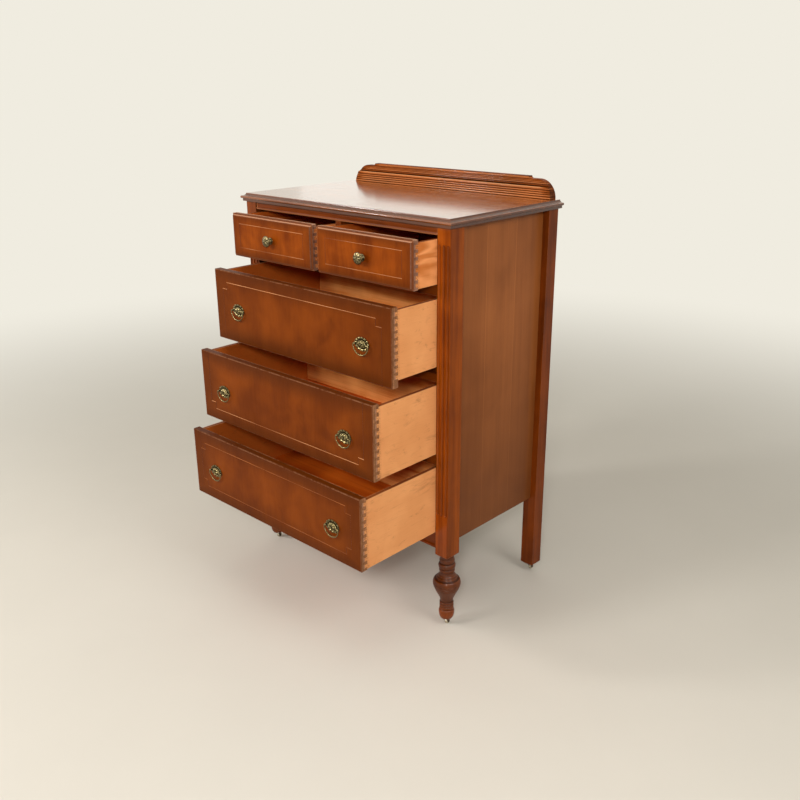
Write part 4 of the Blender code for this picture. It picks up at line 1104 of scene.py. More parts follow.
        # The leg is darkened all over, less at the foot; painted shade makes its grooves darker than its
        # rings.
        dips = sunken(leg[:, 1], leg[:, 0], self.dip_span, self.dip_depth, self.leg_dark)[:, None]
        dips = dips * np.interp(leg[:, 1:], low.z + np.array(self.foot_span), (self.foot_dark, 1.0))
        square = leg[-1, 1]
        rows = self.rows(square, high.z)[:, None]
        rise = np.clip((rows - square) / self.pommel_round, 0.0, 1.0)
        inset = self.pommel_round * (1 - rounded(1 - rise))
        section = loop * (1 - inset[..., None] / np.array([self.width / 2, self.depth / 2]))
        on_face = loop[:, 1] <= self.on_face - self.depth / 2
        sunk = self.flute(loop[:, 0], rows) * on_face
        shaft = joined(section[..., 0], section[..., 1] + sunk, rows)
        points = np.concatenate([turned, shaft]) + np.array([middle.x, middle.y, 0.0])
        # Painted shade: the flutes darken with their depth, and the post's sides by a fixed share.
        aside = np.abs(loop[:, 0]) >= self.width / 2 - self.arris
        hollow = np.concatenate([np.broadcast_to(dips, turned.shape[:2]),
                                 self.flute_shade * sunk / self.flute_depth + self.side_shade * aside])
        surface = Surface()
        surface.tube(points, hollow)
        wood = self.dresser.wood("fluted_post_finish_" + side.value, node, POST_WALNUT_LEFT_SHADED[side], Grain.UP)
        surface.piece("fluted_post_" + side.value, "case", wood, "case_wood", node)


@dataclass
class Top:
    """The moulded top board and the reeded gallery that stands on its back edge."""

    dresser: Dresser
    edge_width: float = 0.014
    cove_height: float = 0.008
    nose_radius: float = 0.004
    lip_inset: float = 0.006
    corner: float = 0.0025
    corner_least: float = 0.00025
    end_width: float = 0.053
    end_height: float = 0.055
    step_height: float = 0.0065
    shoulder: float = 0.085
    face_depth: float = 0.017
    cove_depth: float = 0.006
    bead_height: float = 0.0085
    bead_bulge: float = 0.003
    gallery_cove: float = 0.008
    base_reeds: int = 4
    base_reed_height: float = 0.0062
    base_reed_bulge: float = 0.0018
    base_reed_step: float = 0.0012
    fine_reeds: int = 3
    fine_reed_height: float = 0.0040
    fine_reed_bulge: float = 0.0012
    crest_bulge: float = 0.0028
    cove_shade: float = 0.85
    nose_shade: float = 0.55
    reed_shade: float = 0.15
    end_dark: float = 0.7
    joint_height: float = 0.0012
    cove_fade: float = 0.15
    cove_steps: int = 14
    nose_steps: int = 18
    step_gap: float = 1e-6
    reed_span: float = 0.005
    reed_depth: float = 0.0005

    def edge(self, thickness: float) -> Array:
        """The board's edge: a cove, a round nose and a lip, from the top down.

        Args:
            thickness: The board's thickness.

        Returns:
            (inset, height, hollow) points, whose hollow share is painted shade.
        """
        nose = thickness - self.cove_height - self.nose_radius
        cove = (self.edge_width - self.nose_radius, self.cove_height)
        round_nose = (self.nose_radius, self.nose_radius)
        lip = [[self.lip_inset, nose - self.nose_radius], [self.lip_inset, 0.0]]
        points = np.concatenate([
            arc((self.nose_radius, thickness), cove, 0, -90, self.cove_steps),
            arc((self.nose_radius, nose), round_nose, 90, 270, self.nose_steps)[1:], lip])
        # Painted shade over the whole edge: most in the cove and the lip, the cove less at its ends, and
        # less on the nose.
        across = np.linspace(0.0, np.pi, self.cove_steps + 1)
        dark = np.concatenate([self.cove_shade * np.sin(across) ** self.cove_fade,
                               np.full(self.nose_steps, self.nose_shade), np.full(len(lip), self.cove_shade)])
        return np.column_stack([points, dark])

    def build_board(self) -> None:
        """Carries the edge round the front and sides: a U with eased corners, drawn in by each inset."""
        low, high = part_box("top_board")
        profile = self.edge(high.z - low.z)
        inset = profile[:, :1]
        ease = np.maximum(self.corner - inset, self.corner_least)
        turn = 1 - arc((0.0, 0.0), (1.0, 1.0), 0, 90, steps=6)
        half = high.x - inset
        front = low.y + inset
        rear = np.full_like(inset, high.y)
        x = np.concatenate([-half, -half + ease * turn[:, 0], half - ease * turn[::-1, 0], half], axis=1)
        y = np.concatenate([rear, front + ease * turn[:, 1], front + ease * turn[::-1, 1], rear], axis=1)
        surface = Surface()
        numbers = surface.grid(joined(x, y, low.z + profile[:, 1:2]), profile[:, 2:])
        surface.faces += [numbers[0].tolist(), numbers[-1].tolist()]
        surface.faces.append(numbers[:, 0].tolist() + numbers[::-1, -1].tolist())
        wood = self.dresser.wood("moulded_top_finish", "top_board", TOP_WOOD, Grain.ACROSS)
        surface.piece("moulded_top", "case", wood, "top_wood", "top_board")

    def section(self, rear: float, foot: float, surface: float, head: float) -> Array:
        """The gallery's face as (y, z) points from its foot up: reeds, a bead, a cove, fine reeds, a crest.

        Args:
            rear: Plane of the gallery's back.
            foot: Height of its lower edge.
            surface: Height of the board's top.
            head: Height of its upper edge.

        Returns:
            The face's points.
        """
        face = rear - self.face_depth
        base = face - self.cove_depth
        level = surface
        parts = [[[base - self.base_reeds * self.base_reed_step, foot]]]
        for index in range(self.base_reeds):
            reed = base - (self.base_reeds - index) * self.base_reed_step
            parts.append(bead(reed, -self.base_reed_bulge, level, self.base_reed_height))
            level += self.base_reed_height
        parts.append(bead(base, -self.bead_bulge, level, self.bead_height))
        level += self.bead_height
        level += self.gallery_cove
        cove = (self.cove_depth, self.gallery_cove)
        parts.append(arc((base, level), cove, 270, 360, steps=12)[1:])
        reeds = [(-self.fine_reed_bulge, self.fine_reed_height)] * self.fine_reeds
        crest = level + self.fine_reeds * self.fine_reed_height
        parts.append(beads(face, level, reeds + [(-self.crest_bulge, head - crest)]))
        return np.concatenate(parts)

    def half_length(self, height: Array, half: float, surface: float, head: float) -> Array:
        """Half the gallery's length at each height: an ellipse's quarter, then a hollow step.

        Args:
            height: The heights.
            half: Half its whole length.
            surface: Height of the board's top.
            head: Height of its upper edge.

        Returns:
            Half its length at each height.
        """
        rise = np.clip((height - surface) / self.end_height, 0.0, 1.0)
        ends = half - self.end_width + self.end_width * rounded(rise)
        drop = np.clip((head - height) / self.step_height, 0.0, 1.0)
        step = half - self.shoulder + self.step_height * (1 - rounded(drop))
        return np.where(height > surface + self.end_height, step, ends)

    def build_gallery(self) -> None:
        """Runs the section along x to half its length at each height, and closes its ends and back. Two rows
        close together make the step at its shoulder."""
        low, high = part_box("gallery")
        surface_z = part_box("top_board")[1].z
        section = self.section(high.y, low.z, surface_z, high.z)
        step = surface_z + self.end_height + np.array([-self.step_gap, self.step_gap])
        extra = np.interp(step, section[:, 1], section[:, 0])
        rows = np.concatenate([section, joined(extra, step)])
        outs, heights = np.split(rows[np.argsort(rows[:, 1], kind="stable")], 2, axis=1)
        reach = self.half_length(heights, high.x, surface_z, high.z)
        # Painted shade in the valleys between the reeds, and a painted highlight on their ridges.
        hollow = sunken(heights.ravel(), -outs.ravel(), self.reed_span, self.reed_depth, self.reed_shade)
        hollow = np.where(heights < surface_z + self.joint_height, 1.0, hollow[:, None])
        columns = np.linspace(-1.0, 1.0, num=25)
        face = joined(reach * columns, outs, heights)
        back = joined(reach * columns, high.y, heights)
        surface = Surface()
        surface.grid(face, hollow)
        for end in (0, -1):
            surface.grid(np.stack([face[:, end], back[:, end]], axis=1), self.end_dark)
        surface.grid(back)
        for row in (0, -1):
            surface.grid(np.stack([face[row], back[row]]))
        wood = self.dresser.wood("reeded_gallery_finish", "gallery", GALLERY_WALNUT, Grain.ACROSS)
        surface.piece("reeded_gallery", "case", wood, "case_wood", "gallery")


@dataclass
class Stringing:
    """The fine inlaid lines on a drawer front: half-round strips let into the veneer."""

    dresser: Dresser
    width: float = 0.0015
    proud: float = 0.0003
    pitch: float = 0.03

    def strip(self, surface: Surface, start: Array, end: Array, face: float) -> None:
        """Adds a strip between two (x, z) points: a half ellipse carried along the line and closed at both
        ends.

        Args:
            surface: Where the strip goes.
            start: First point of its middle line.
            end: Last point.
            face: The front's plane.
        """
        length = np.linalg.norm(end - start)
        along = (end - start) / length
        aside = np.array([-along[1], along[0]])
        half = self.width / 2
        curve = np.concatenate([arc((0.0, 0.0), (half, self.proud), 0, 180, steps=10),
                                [[-half, -self.proud], [half, -self.proud]]])
        steps = np.linspace(0.0, 1.0, 2 + int(length / self.pitch))
        line = start + steps[:, None] * (end - start)
        flat = line[:, None, :] + curve[None, :, :1] * aside
        surface.tube(joined(flat[..., 0], face - curve[:, 1], flat[..., 1]))

    def lay(self, drawer: str, lines: tuple[list, list], pale: WoodFinish) -> None:
        """Lays the lines on one drawer's front, pale level ones with a painted highlight and dark uprights
        with painted shade.

        Args:
            drawer: The drawer.
            lines: Its level lines and its uprights, as pairs of (x, z) points.
            pale: Wood of the level lines.
        """
        node = drawer + "_front"
        # Level lines take the pale finish, with a painted highlight, and uprights the dark one, with painted
        # shade.
        kinds = (("level", pale, Grain.ACROSS), ("upright", DARK_STRING_AND_SHADE, Grain.UP))
        for run, (kind, finish, grain) in zip(lines, kinds):
            surface = Surface()
            for start, end in run:
                self.strip(surface, np.array(start), np.array(end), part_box(node)[0].y)
            name = drawer + "_" + kind + "_lines"
            wood = self.dresser.wood(name + "_finish", node, finish, grain)
            surface.piece(name, drawer, wood, "front_veneer")


@dataclass
class Pull:
    """An oval rosette with two ball ears and the bail that hangs from them.

    Places on the plate, such as the groove's, are shares of its own radius.
    """

    half_width: float = 0.0270
    half_height: float = 0.0195
    plate: float = 0.00084
    plate_least: float = 0.00042
    edge: float = 0.9
    core: float = 0.03
    lobes: int = 12
    lobe_notch: float = 0.07
    lobe_relief: float = 0.0064
    lobe_power: float = 0.7
    lobe_reach: float = 1.15
    groove: float = 0.66
    groove_width: float = 0.06
    groove_depth: float = 0.00036
    dome: float = 0.62
    dome_height: float = 0.0072
    petals: int = 8
    petal_relief: float = 0.0024
    petal_power: float = 0.6
    petal_fade: float = 0.7
    petal_level: float = 0.7
    petal_dark: float = 1.2
    boss: float = 0.20
    boss_height: float = 0.0022
    boss_ring: float = 0.05
    boss_dark: float = 0.7
    ear_radius: float = 0.0034
    ear_foot: float = 0.00247
    ear_neck: float = 0.002185
    ear_neck_reach: float = 0.00195
    ear_reach: float = 0.0065
    ear_span: tuple = (-58, 86)
    ear_foot_dark: float = 0.9
    ear_dark: float = 0.7
    ear_spread: float = 0.0450
    ear_half: float = 0.0018
    fit: float = 0.0003
    wire: float = 0.0014
    wire_swell: float = 0.0007
    bail_width: float = 0.0560
    bail_drop: float = 0.0290

    def relief(self, share: Array, angle: Array) -> tuple[Array, Array]:
        """Height and hollow of the rosette's face, as a sum of its forms.

        Lobes ring the plate, each a half wave of the angle that grows towards the edge. A bell-shaped
        groove runs inside them. The dome is a half ellipse with petals cut by another half wave, and the
        boss a smaller half ellipse on top.

        Args:
            share: Distance from the middle as a share of the plate's own radius.
            angle: Angle round it.

        Returns:
            Height above the plate's back, and share of hollow.
        """
        lobe = scallops(self.lobes, angle, self.lobe_power)
        outer = swell(share, self.groove, self.edge)
        groove = bell(share, self.groove, self.groove_width)
        inner = np.clip(share / self.dome, 0.0, 1.0)
        petal = scallops(self.petals, angle, self.petal_power)
        on_petal = np.sin(np.pi * inner) ** self.petal_fade
        ring = bell(share, self.boss, self.boss_ring)
        height = self.plate + self.lobe_relief * lobe * outer * (self.lobe_reach - share)
        height = height - self.groove_depth * groove + self.dome_height * rounded(inner)
        height = height + self.petal_relief * (petal - self.petal_level) * on_petal
        height = height + self.boss_height * rounded(share / self.boss)
        hollow = (1 - lobe) * outer + groove + self.boss_dark * ring
        hollow = hollow + self.petal_dark * (1 - petal) * on_petal
        return np.maximum(height, self.plate_least), np.clip(hollow, 0.0, 1.0)

    def build_rosette(self, row: Row, side: Side, brass: bpy.types.Material) -> None:
        """Builds the rosette as a polar height field stretched to an oval with a notched edge, and an ear of
        a turned stem and ball on each side.

        Args:
            row: Its drawer's row.
            side: Its side of the front.
            brass: Its metal.
        """
        node = row.drawer + "_rosette_" + side.value
        place = seat_of(node)
        angles = around(columns=120)
        share = np.concatenate([np.linspace(1.0, self.edge, num=10),
                                np.linspace(self.edge, self.core, num=50)[1:]])[:, None]
        height, hollow = self.relief(share, angles)
        notch = share * (1 - self.lobe_notch * (1 - scallops(self.lobes, angles)))
        across, upward = self.half_width * np.cos(angles), self.half_height * np.sin(angles)
        face = joined(notch * across, notch * upward, height)
        back = face[:1] * (1.0, 1.0, 0.0)
        surface = Surface()
        surface.tube(out_of_front(np.concatenate([back, face]), place), np.concatenate([hollow[:1], hollow]))
        ball = arc((0.0, self.ear_reach), (self.ear_radius, self.ear_radius), *self.ear_span, steps=14)
        stem = [[self.ear_foot, self.plate_least], [self.ear_neck, self.ear_neck_reach]]
        ear = spun(np.concatenate([stem, ball]), around(columns=28))
        dark = np.concatenate([np.full(len(stem), self.ear_foot_dark),
                               np.linspace(self.ear_dark, 0.0, len(ball))])
        for end in Side:
            aside = np.array([end.hand * self.ear_spread / 2, 0.0, 0.0])
            surface.tube(out_of_front(ear, place + aside), dark[:, None])
        name = row.value + "_cast_rosette_" + side.value
        surface.piece(name, row.drawer, brass, "aged_brass", node)

    def build_bail(self, row: Row, side: Side, brass: bpy.types.Material) -> None:
        """Builds the bail: a round section carried along its loop, swelling towards the middle.

        The section's circle lies in the path's normal and the front's own normal, and its radius is the
        wire's plus the swell times the cosine squared of the way from the loop's bottom.

        Args:
            row: Its drawer's row.
            side: Its side of the front.
            brass: Its metal.
        """
        node = row.drawer + "_bail_" + side.value
        low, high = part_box(node)
        hang = ((low.x + high.x) / 2, (low.y + high.y) / 2, high.z - self.wire)
        half = self.bail_width / 2
        pin = self.ear_spread / 2 - self.ear_half - self.fit
        bend = half - self.ear_spread / 2 - self.ear_half - self.fit
        corner = arc((half - bend, -bend), (bend, bend), 90, 0, steps=8)
        right = np.concatenate([[[pin, 0.0]], corner])
        loop = arc((0.0, -bend), (half, self.bail_drop - bend), 0, -180, steps=56)[1:-1]
        path = np.concatenate([right, loop, right[::-1] * (-1.0, 1.0)])
        tangent = np.gradient(path, axis=0)
        tangent /= np.linalg.norm(tangent, axis=1, keepdims=True)
        normal = joined(-tangent[:, 1], tangent[:, 0])
        way = np.clip(path[:, 0] / half, -1.0, 1.0)
        lowest = path[:, 1] < -bend
        radius = self.wire + np.where(lowest, self.wire_swell * np.cos(way * np.pi / 2) ** 2, 0.0)
        angles = around(columns=20)
        flat = path[:, None, :] + (radius[:, None] * np.cos(angles))[..., None] * normal[:, None, :]
        out = radius[:, None] * np.sin(angles)
        points = joined(flat[..., 0], out, flat[..., 1]) + hang
        surface = Surface()
        surface.tube(points)
        name = row.value + "_swelled_bail_" + side.value
        surface.piece(name, row.value + "_bail_" + side.value, brass, "aged_brass", node)


@dataclass
class Knob:
    """A small drawer's knob: a turned foot and stem under a head cast with petals."""

    head_radius: float = 0.0165
    head_depth: float = 0.010
    head_span: tuple = (-62, 88)
    stem_radius: float = 0.0044
    stem_length: float = 0.009
    base_radius: float = 0.0105
    base_depth: float = 0.002
    petals: int = 8
    petal_relief: float = 0.0014
    petal_power: float = 0.6
    petal_fade: float = 0.7
    petal_level: float = 0.8
    petal_dark: float = 1.6

    def build(self, side: Side, brass: bpy.types.Material) -> None:
        """Spins the outline, and raises petals on the head by a ring of half waves.

        Args:
            side: Its side of the case.
            brass: Its metal.
        """
        node = side.drawer + "_knob"
        stem = self.base_depth + self.stem_length
        middle = stem + self.head_depth / 2
        flat = self.base_radius - self.base_depth
        profile = np.concatenate([
            [[self.base_radius, 0.0]],
            arc((flat, 0.0), (self.base_depth, self.base_depth), 0, 90, steps=6)[1:],
            arc((flat, stem), (flat - self.stem_radius, self.stem_length), 270, 180, steps=12),
            arc((0.0, middle), (self.head_radius, self.head_depth / 2), *self.head_span, steps=34)])
        angles = around(columns=72)
        points = spun(profile, angles)
        share = np.clip(profile[:, :1] / self.head_radius, 0.0, 1.0)
        on_top = (profile[:, 1:] > middle) * np.sin(np.pi * share) ** self.petal_fade
        wave = scallops(self.petals, angles, self.petal_power) - self.petal_level
        points[..., 2] += self.petal_relief * on_top * wave
        hollow = np.clip(-wave * self.petal_dark, 0.0, 1.0) * on_top
        surface = Surface()
        surface.tube(out_of_front(points, seat_of(node)), hollow)
        surface.piece("petalled_knob_" + side.value, side.drawer, brass, "aged_brass", node)


@dataclass
class Castor:
    """A castor: a pintle and plate over two cheeks with a riveted axle, and the wheel between them."""

    wheel_radius: float = 0.0088
    wheel_width: float = 0.008
    wheel_round: float = 0.0018
    hub_radius: float = 0.0042
    hub_sink: float = 0.0008
    bore: float = 0.0023
    axle_radius: float = 0.002
    cheek_thickness: float = 0.002
    cheek_gap: float = 0.0007
    plate_radius: float = 0.0095
    plate_core: float = 0.0019
    plate_thickness: float = 0.0025
    pintle_radius: float = 0.0035
    pintle_length: float = 0.028
    trail: float = 0.0045
    ease: float = 0.0005
    cheek_layers: tuple = ((0.0, 0.93), (0.2, 1.0), (0.8, 1.0), (1.0, 0.93))
    boss_radius: float = 0.004
    rivet_turn: float = 84
    ease_steps: int = 4
    axle_columns: int = 20

    def build_wheel(self, place: str, steel: bpy.types.Material) -> None:
        """Spins the wheel's section, a crowned tread with a sunk hub, about its axle.

        Args:
            place: Which castor.
            steel: Its metal.
        """
        node = "castor_wheel_" + place
        low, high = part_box(node)
        half = self.wheel_width / 2
        sunk = half - self.hub_sink
        rim = self.wheel_radius - self.wheel_round
        corner = (self.wheel_round, self.wheel_round)
        outer = np.concatenate([
            [[self.bore, half], [self.hub_radius, half], [self.hub_radius + self.hub_sink, sunk],
             [rim - self.hub_sink, sunk]],
            arc((rim, half - self.wheel_round), corner, 90, 0, steps=8)])
        section = np.concatenate([outer, outer[::-1] * (1.0, -1.0), outer[:1]])
        turned = spun(section, around(columns=56))
        surface = Surface()
        surface.grid(along_axle(turned, np.array((low + high) / 2)), ring=True)
        surface.piece("castor_tread_" + place, "wheel_" + place, steel, "castor_steel", node)

    def build_horn(self, place: str, iron: bpy.types.Material) -> None:
        """Builds the horn: a turned pintle and plate, and two eased cheeks with the riveted axle.

        Args:
            place: Which castor.
            iron: Its metal.
        """
        node = "castor_horn_" + place
        wheel_low, wheel_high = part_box("castor_wheel_" + place)
        axle = np.array((wheel_low + wheel_high) / 2)
        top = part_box(node)[1].z - self.pintle_length
        plate = top - self.plate_thickness
        swivel = axle * (1.0, 1.0, 0.0) - (0.0, self.trail, 0.0)
        ease = (self.ease, self.ease)
        flat = self.plate_radius - self.ease
        profile = np.concatenate([
            [[self.plate_core, plate]],
            arc((flat, plate + self.ease), ease, -90, 0, self.ease_steps),
            arc((flat, top - self.ease), ease, 0, 90, self.ease_steps),
            [[self.pintle_radius, top], [self.pintle_radius, top + self.pintle_length - self.ease],
             [self.pintle_radius - self.ease, top + self.pintle_length]]])
        surface = Surface()
        surface.tube(spun(profile, around(columns=32)) + swivel)
        lower = arc((axle[1], axle[2]), (self.boss_radius, self.boss_radius), 0, -180, steps=14)
        root = plate + self.plate_thickness / 2
        reach = self.plate_radius / 2
        outline = np.concatenate([lower, [[swivel[1] - reach, root], [swivel[1] + reach, root]]])
        middle = outline.mean(axis=0)
        inner = self.wheel_width / 2 + self.cheek_gap
        outs, scale = np.array(self.cheek_layers).T
        cheek = middle + (outline - middle) * scale[:, None, None]
        head = arc((0.0, inner + self.cheek_thickness), (self.axle_radius, self.cheek_thickness / 2), 0,
                   self.rivet_turn, steps=6)
        for side in Side:
            level = axle[0] + side.hand * (inner + self.cheek_thickness * outs)
            surface.tube(joined(level[:, None], cheek[..., 0], cheek[..., 1]))
            surface.tube(along_axle(spun(head, around(self.axle_columns)), axle, side.hand))
        end = inner + self.ease
        rod = spun(np.array([[self.axle_radius, -end], [self.axle_radius, end]]), around(self.axle_columns))
        surface.tube(along_axle(rod, axle))
        surface.piece("castor_fork_" + place, "castor_" + place, iron, "castor_iron", node)


@dataclass
class Case:
    """The case: posts, panels, rails and their runners, top, gallery and castors."""

    dresser: Dresser

    def build(self) -> None:
        """Builds the fine pieces of the case and its castors."""
        top, post, castor = Top(self.dresser), FrontPost(self.dresser), Castor()
        top.build_board()
        top.build_gallery()
        iron = CASTOR_IRON.material("castor_iron_finish", self.dresser.next_seed())
        steel = CASTOR_STEEL.material("castor_steel_finish", self.dresser.next_seed())
        for side in Side:
            post.build(side)
            for end in ("front_", "rear_"):
                castor.build_wheel(end + side.value, steel)
                castor.build_horn(end + side.value, iron)

    def dress(self) -> None:
        """Puts wood on the case's solids."""
        for side in Side:
            self.dresser.dress("rear_post_" + side.value, RED_WALNUT, Grain.UP)
            self.dresser.dress("side_panel_" + side.value, SIDE_VENEER, Grain.UP)
        self.dresser.dress("top_rail", RAIL_WALNUT, Grain.ACROSS)
        for node in ("upper_frame", "middle_frame", "lower_frame", "bottom_frame"):
            self.dresser.dress(node, RED_WALNUT, Grain.ACROSS)
        self.dresser.dress("drawer_divider", RED_WALNUT, Grain.UP)
        self.dresser.dress("back_panel", BACK_PLY, Grain.UP)


@dataclass
class Drawers:
    """The five drawers: fronts with inlaid lines, lined boxes, knobs and pulls."""

    dresser: Dresser
    pull: Pull = field(default_factory=Pull)
    knob: Knob = field(default_factory=Knob)
    small_side_inset: float = 0.036
    small_edge_inset: float = 0.029
    wide_side_inset: float = 0.036
    wide_edge_inset: float = 0.035
    notch_across: float = 0.021
    notch_up: float = 0.021

    def dress(self) -> None:
        """Puts wood on the drawers' solids."""
        for side in Side:
            self.dresser.dress(side.drawer + "_front", SMALL_VENEER, Grain.UP, Grain.ACROSS)
            self.dresser.dress(side.drawer + "_box", SMALL_LINING, Grain.DEEP, hand=0.0)
            self.dresser.dress(side.drawer + "_bottom", DRAWER_BOTTOM, Grain.ACROSS)
        for row in Row:
            self.dresser.dress(row.drawer + "_front", FRONT_VENEER, Grain.UP, Grain.ACROSS)
            for side in Side:
                node = row.drawer + "_side_" + side.value
                self.dresser.dress(node, DRAWER_LINING, Grain.DEEP, hand=side.hand)
            self.dresser.dress(row.drawer + "_back", DRAWER_BACK, Grain.ACROSS)
            self.dresser.dress(row.drawer + "_bottom", DRAWER_BOTTOM, Grain.ACROSS)

    def small_lines(self, side: Side) -> tuple[list, list]:
        """A small front's lines, a plain rectangle.

        Args:
            side: The drawer's side of the case.

        Returns:
            Its level lines and its uprights, as pairs of (x, z) points.
        """
        low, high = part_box(side.drawer + "_front")
        left, right = low.x + self.small_side_inset, high.x - self.small_side_inset
        bottom, top = low.z + self.small_edge_inset, high.z - self.small_edge_inset
        fit = Stringing.width / 2
        level = [((left - fit, height), (right + fit, height)) for height in (bottom, top)]
        upright = [((x, bottom + fit), (x, top - fit)) for x in (left, right)]
        return level, upright

    def wide_lines(self, row: Row) -> tuple[list, list]:
        """A wide front's lines: notched corners above, below or both; the upper two share one panel.

        Args:
            row: The drawer's row.

        Returns:
            Its level lines and its uprights, as pairs of (x, z) points.
        """
        low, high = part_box(row.drawer + "_front")
        left, right = low.x + self.wide_side_inset, high.x - self.wide_side_inset
        notched_top = row is not Row.MIDDLE
        notched_bottom = row is not Row.UPPER
        top = high.z - self.wide_edge_inset if notched_top else high.z
        bottom = low.z + self.wide_edge_inset if notched_bottom else low.z
        fit = Stringing.width / 2
        level, upright = [], []
        inner_left, inner_right = left + self.notch_across, right - self.notch_across
        for notched, edge, turn in ((notched_top, top, -1.0), (notched_bottom, bottom, 1.0)):
            if not notched:
                continue
            shelf = edge + turn * self.notch_up
            level.append(((inner_left - fit, edge), (inner_right + fit, edge)))
            level.append(((left - fit, shelf), (inner_left - fit, shelf)))
            level.append(((inner_right + fit, shelf), (right + fit, shelf)))
            for x in (inner_left, inner_right):
                upright.append(((x, shelf - turn * fit), (x, edge + turn * fit)))
        reach_top = top - self.notch_up - fit if notched_top else top
        reach_bottom = bottom + self.notch_up + fit if notched_bottom else bottom
        upright += [((x, reach_bottom), (x, reach_top)) for x in (left, right)]
        return level, upright

    def build(self) -> None:
        """Builds the lines, knobs and pulls."""
        brass = AGED_BRASS.material("aged_brass_finish", self.dresser.next_seed())
        stringing = Stringing(self.dresser)
        for side in Side:
            stringing.lay(side.drawer, self.small_lines(side), PALE_STRING_AND_HIGHLIGHT)
        for row in Row:
            pale = FAINT_STRING_AND_HIGHLIGHT if row is Row.LOWER else PALE_STRING_AND_HIGHLIGHT
            stringing.lay(row.drawer, self.wide_lines(row), pale)
        dull = DULL_BRASS.material("dull_brass_finish", self.dresser.next_seed())
        for side in Side:
            self.knob.build(side, dull)
            for row in Row:
                self.pull.build_rosette(row, side, brass)
                self.pull.build_bail(row, side, brass)


@dataclass
class Lamp:
    """A square soft lamp."""

    name: str
    place: tuple
    size: float
    power: float
    aim: tuple = (0.0, 0.0, 0.7)

    def hang(self) -> None:
        """Hangs the lamp, unseen by the camera, turned to its aim."""
        data = bpy.data.lights.new(self.name, "AREA")
        data.shape = "SQUARE"
        data.size = self.size
        data.energy = self.power
        lamp = bpy.data.objects.new(self.name, data)
        lamp.location = self.place
        lamp.rotation_euler = (Vector(self.aim) - Vector(self.place)).to_track_quat("-Z", "Y").to_euler()
        lamp.visible_camera = False
        bpy.context.scene.collection.objects.link(lamp)


LAMPS = (
    Lamp("left_lamp", place=(-2.6, -2.8, 2.3), size=0.5, power=55.0),
    Lamp("front_lamp", place=(-1.15, -3.5, 2.5), size=0.8, power=60.0),
    Lamp("near_lamp", place=(2.1, -2.3, 2.0), size=0.35, power=42.0),
    Lamp("right_lamp", place=(2.7, -0.2, 2.6), size=1.4, power=32.0),
    Lamp("top_lamp", place=(0.3, -0.6, 4.2), size=2.4, power=22.0),
    Lamp("rear_lamp", place=(-2.2, 3.4, 2.5), size=3.0, power=7.0))


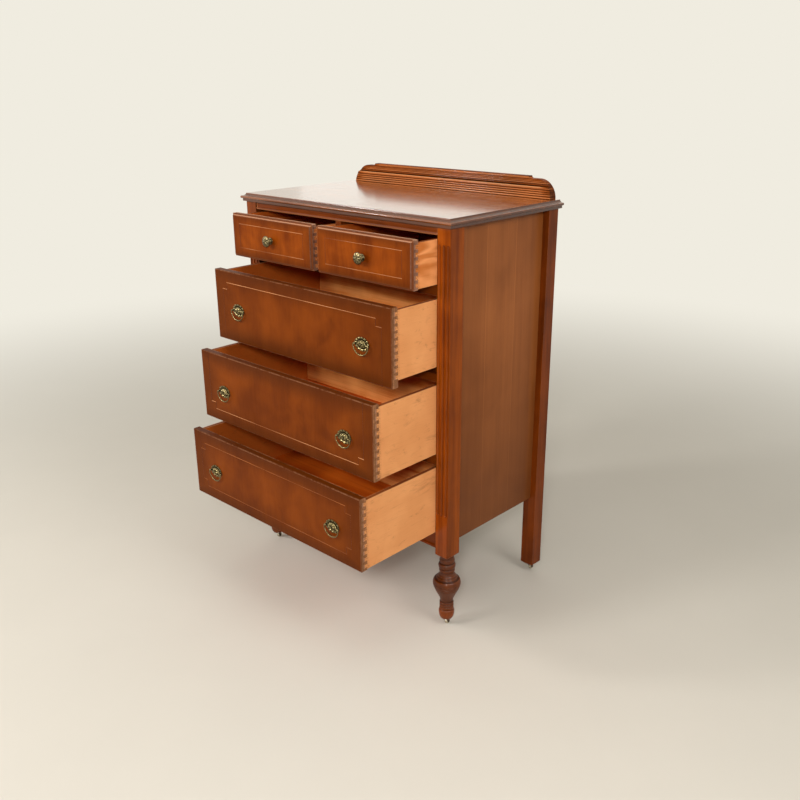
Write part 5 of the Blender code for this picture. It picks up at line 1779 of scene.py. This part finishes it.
@dataclass
class Studio:
    """A plain pale floor, soft light and a camera at the photograph's angle."""

    eye: tuple = (1.8730, -1.8148, 1.5549)
    azimuth: float = 43.4976
    elevation: float = 19.997
    roll: float = -0.4646
    lens: float = 39.888
    shift_y: float = -1.0 / 800.0
    floor_colour: Colour = stain(212, 205, 192)
    floor_shade: float = 0.94
    floor_roughness: float = 0.7
    mottle_scale: float = 2.5
    backdrop: Colour = stain(240, 236, 224)
    ambient: float = 0.36
    floor_reach: float = 40.0
    fade_start: float = 1.2
    fade_end: float = 4.5

    def set_camera(self) -> None:
        """Sets the camera up from its place, azimuth, elevation and roll."""
        azimuth, elevation, roll = (math.radians(a) for a in (self.azimuth, self.elevation, self.roll))
        back = Vector((math.sin(azimuth) * math.cos(elevation), -math.cos(azimuth) * math.cos(elevation),
                       math.sin(elevation)))
        level = (-back).cross(Vector((0.0, 0.0, 1.0))).normalized()
        upright = level.cross(-back)
        across = math.cos(roll) * level + math.sin(roll) * upright
        up = math.cos(roll) * upright - math.sin(roll) * level
        data = bpy.data.cameras.new("camera")
        data.lens = self.lens
        data.shift_y = self.shift_y
        camera = bpy.data.objects.new("camera", data)
        camera.matrix_world = Matrix.Translation(self.eye) @ Matrix((across, up, back)).transposed().to_4x4()
        bpy.context.scene.collection.objects.link(camera)
        bpy.context.scene.camera = camera

    def lay_floor(self) -> None:
        """Lays a wide flat floor of one pale colour with a faint mottle, which fades into the backdrop."""
        reach = np.linspace(-self.floor_reach, self.floor_reach, num=5)
        x, y = np.meshgrid(reach, reach)
        surface = Surface()
        surface.grid(joined(x, y, 0.0))
        mesh = bpy.data.meshes.new("floor")
        mesh.from_pydata(np.concatenate(surface.points).tolist(), [], surface.faces)
        graph = Graph("floor_finish")
        mottle = graph.noise(graph.place(), self.mottle_scale, detail=5.0, rough=0.6)
        colour = graph.mix(mottle, darker(self.floor_colour, self.floor_shade), self.floor_colour)
        graph.shade({"Base Color": colour, "Roughness": self.floor_roughness})
        from_middle = {"Vector": graph.coordinates.outputs["Object"]}
        away = graph.node("ShaderNodeVectorMath", {"operation": "LENGTH"}, from_middle).outputs["Value"]
        share = graph.times(graph.step(away, self.fade_start, self.fade_end), self.seen(graph.tree))
        glow = graph.node("ShaderNodeEmission", {}, {"Color": self.backdrop, "Strength": 1.0})
        self.blend(graph.tree, "Material Output", share, graph.shader, glow)
        mesh.materials.append(graph.material)
        floor = bpy.data.objects.new("floor", mesh)
        bpy.context.scene.collection.objects.link(floor)

    def blend(self, tree: bpy.types.NodeTree, output: str, share: Socket, first: bpy.types.Node,
              second: bpy.types.Node) -> None:
        """Mixes two shaders into a tree's output.

        Args:
            tree: The tree.
            output: Name of its output node.
            share: Share of the second shader.
            first: First shader.
            second: Second shader.
        """
        mixer = tree.nodes.new("ShaderNodeMixShader")
        for index, socket in enumerate((share, first.outputs[0], second.outputs[0])):
            tree.links.new(socket, mixer.inputs[index])
        tree.links.new(mixer.outputs[0], tree.nodes[output].inputs["Surface"])

    def seen(self, tree: bpy.types.NodeTree) -> Socket:
        """Marks the rays that show a backdrop, which are the camera's, glossy and transmission rays.

        Args:
            tree: The tree that asks.

        Returns:
            One for those rays and zero for others.
        """
        path = tree.nodes.new("ShaderNodeLightPath")
        share = path.outputs["Is Camera Ray"]
        for ray in ("Is Glossy Ray", "Is Transmission Ray"):
            adder = tree.nodes.new("ShaderNodeMath")
            adder.use_clamp = True
            tree.links.new(share, adder.inputs[0])
            tree.links.new(path.outputs[ray], adder.inputs[1])
            share = adder.outputs[0]
        return share

    def light(self) -> None:
        """Lights the room: a pale world, at full strength only for the camera and reflections, and lamps."""
        world = bpy.data.worlds.new("studio")
        bpy.context.scene.world = world
        world.use_nodes = True
        tree = world.node_tree
        bright = tree.nodes["Background"]
        dim = tree.nodes.new("ShaderNodeBackground")
        dim.inputs["Strength"].default_value = self.ambient
        for background in (bright, dim):
            background.inputs["Color"].default_value = (*self.backdrop, 1.0)
        self.blend(tree, "World Output", self.seen(tree), dim, bright)
        for lamp in LAMPS:
            lamp.hang()
        bpy.context.scene.view_settings.view_transform = "Standard"

    def build(self) -> None:
        """Sets up camera, floor and light."""
        self.set_camera()
        self.lay_floor()
        self.light()


def main() -> None:
    """Builds the looks in order."""
    logging.basicConfig(level=logging.INFO, format="%(name)s %(message)s")
    dresser = Dresser()
    Studio().build()
    for assembly in (Case(dresser), Drawers(dresser)):
        assembly.dress()
        assembly.build()


if __name__ == "__main__":
    main()
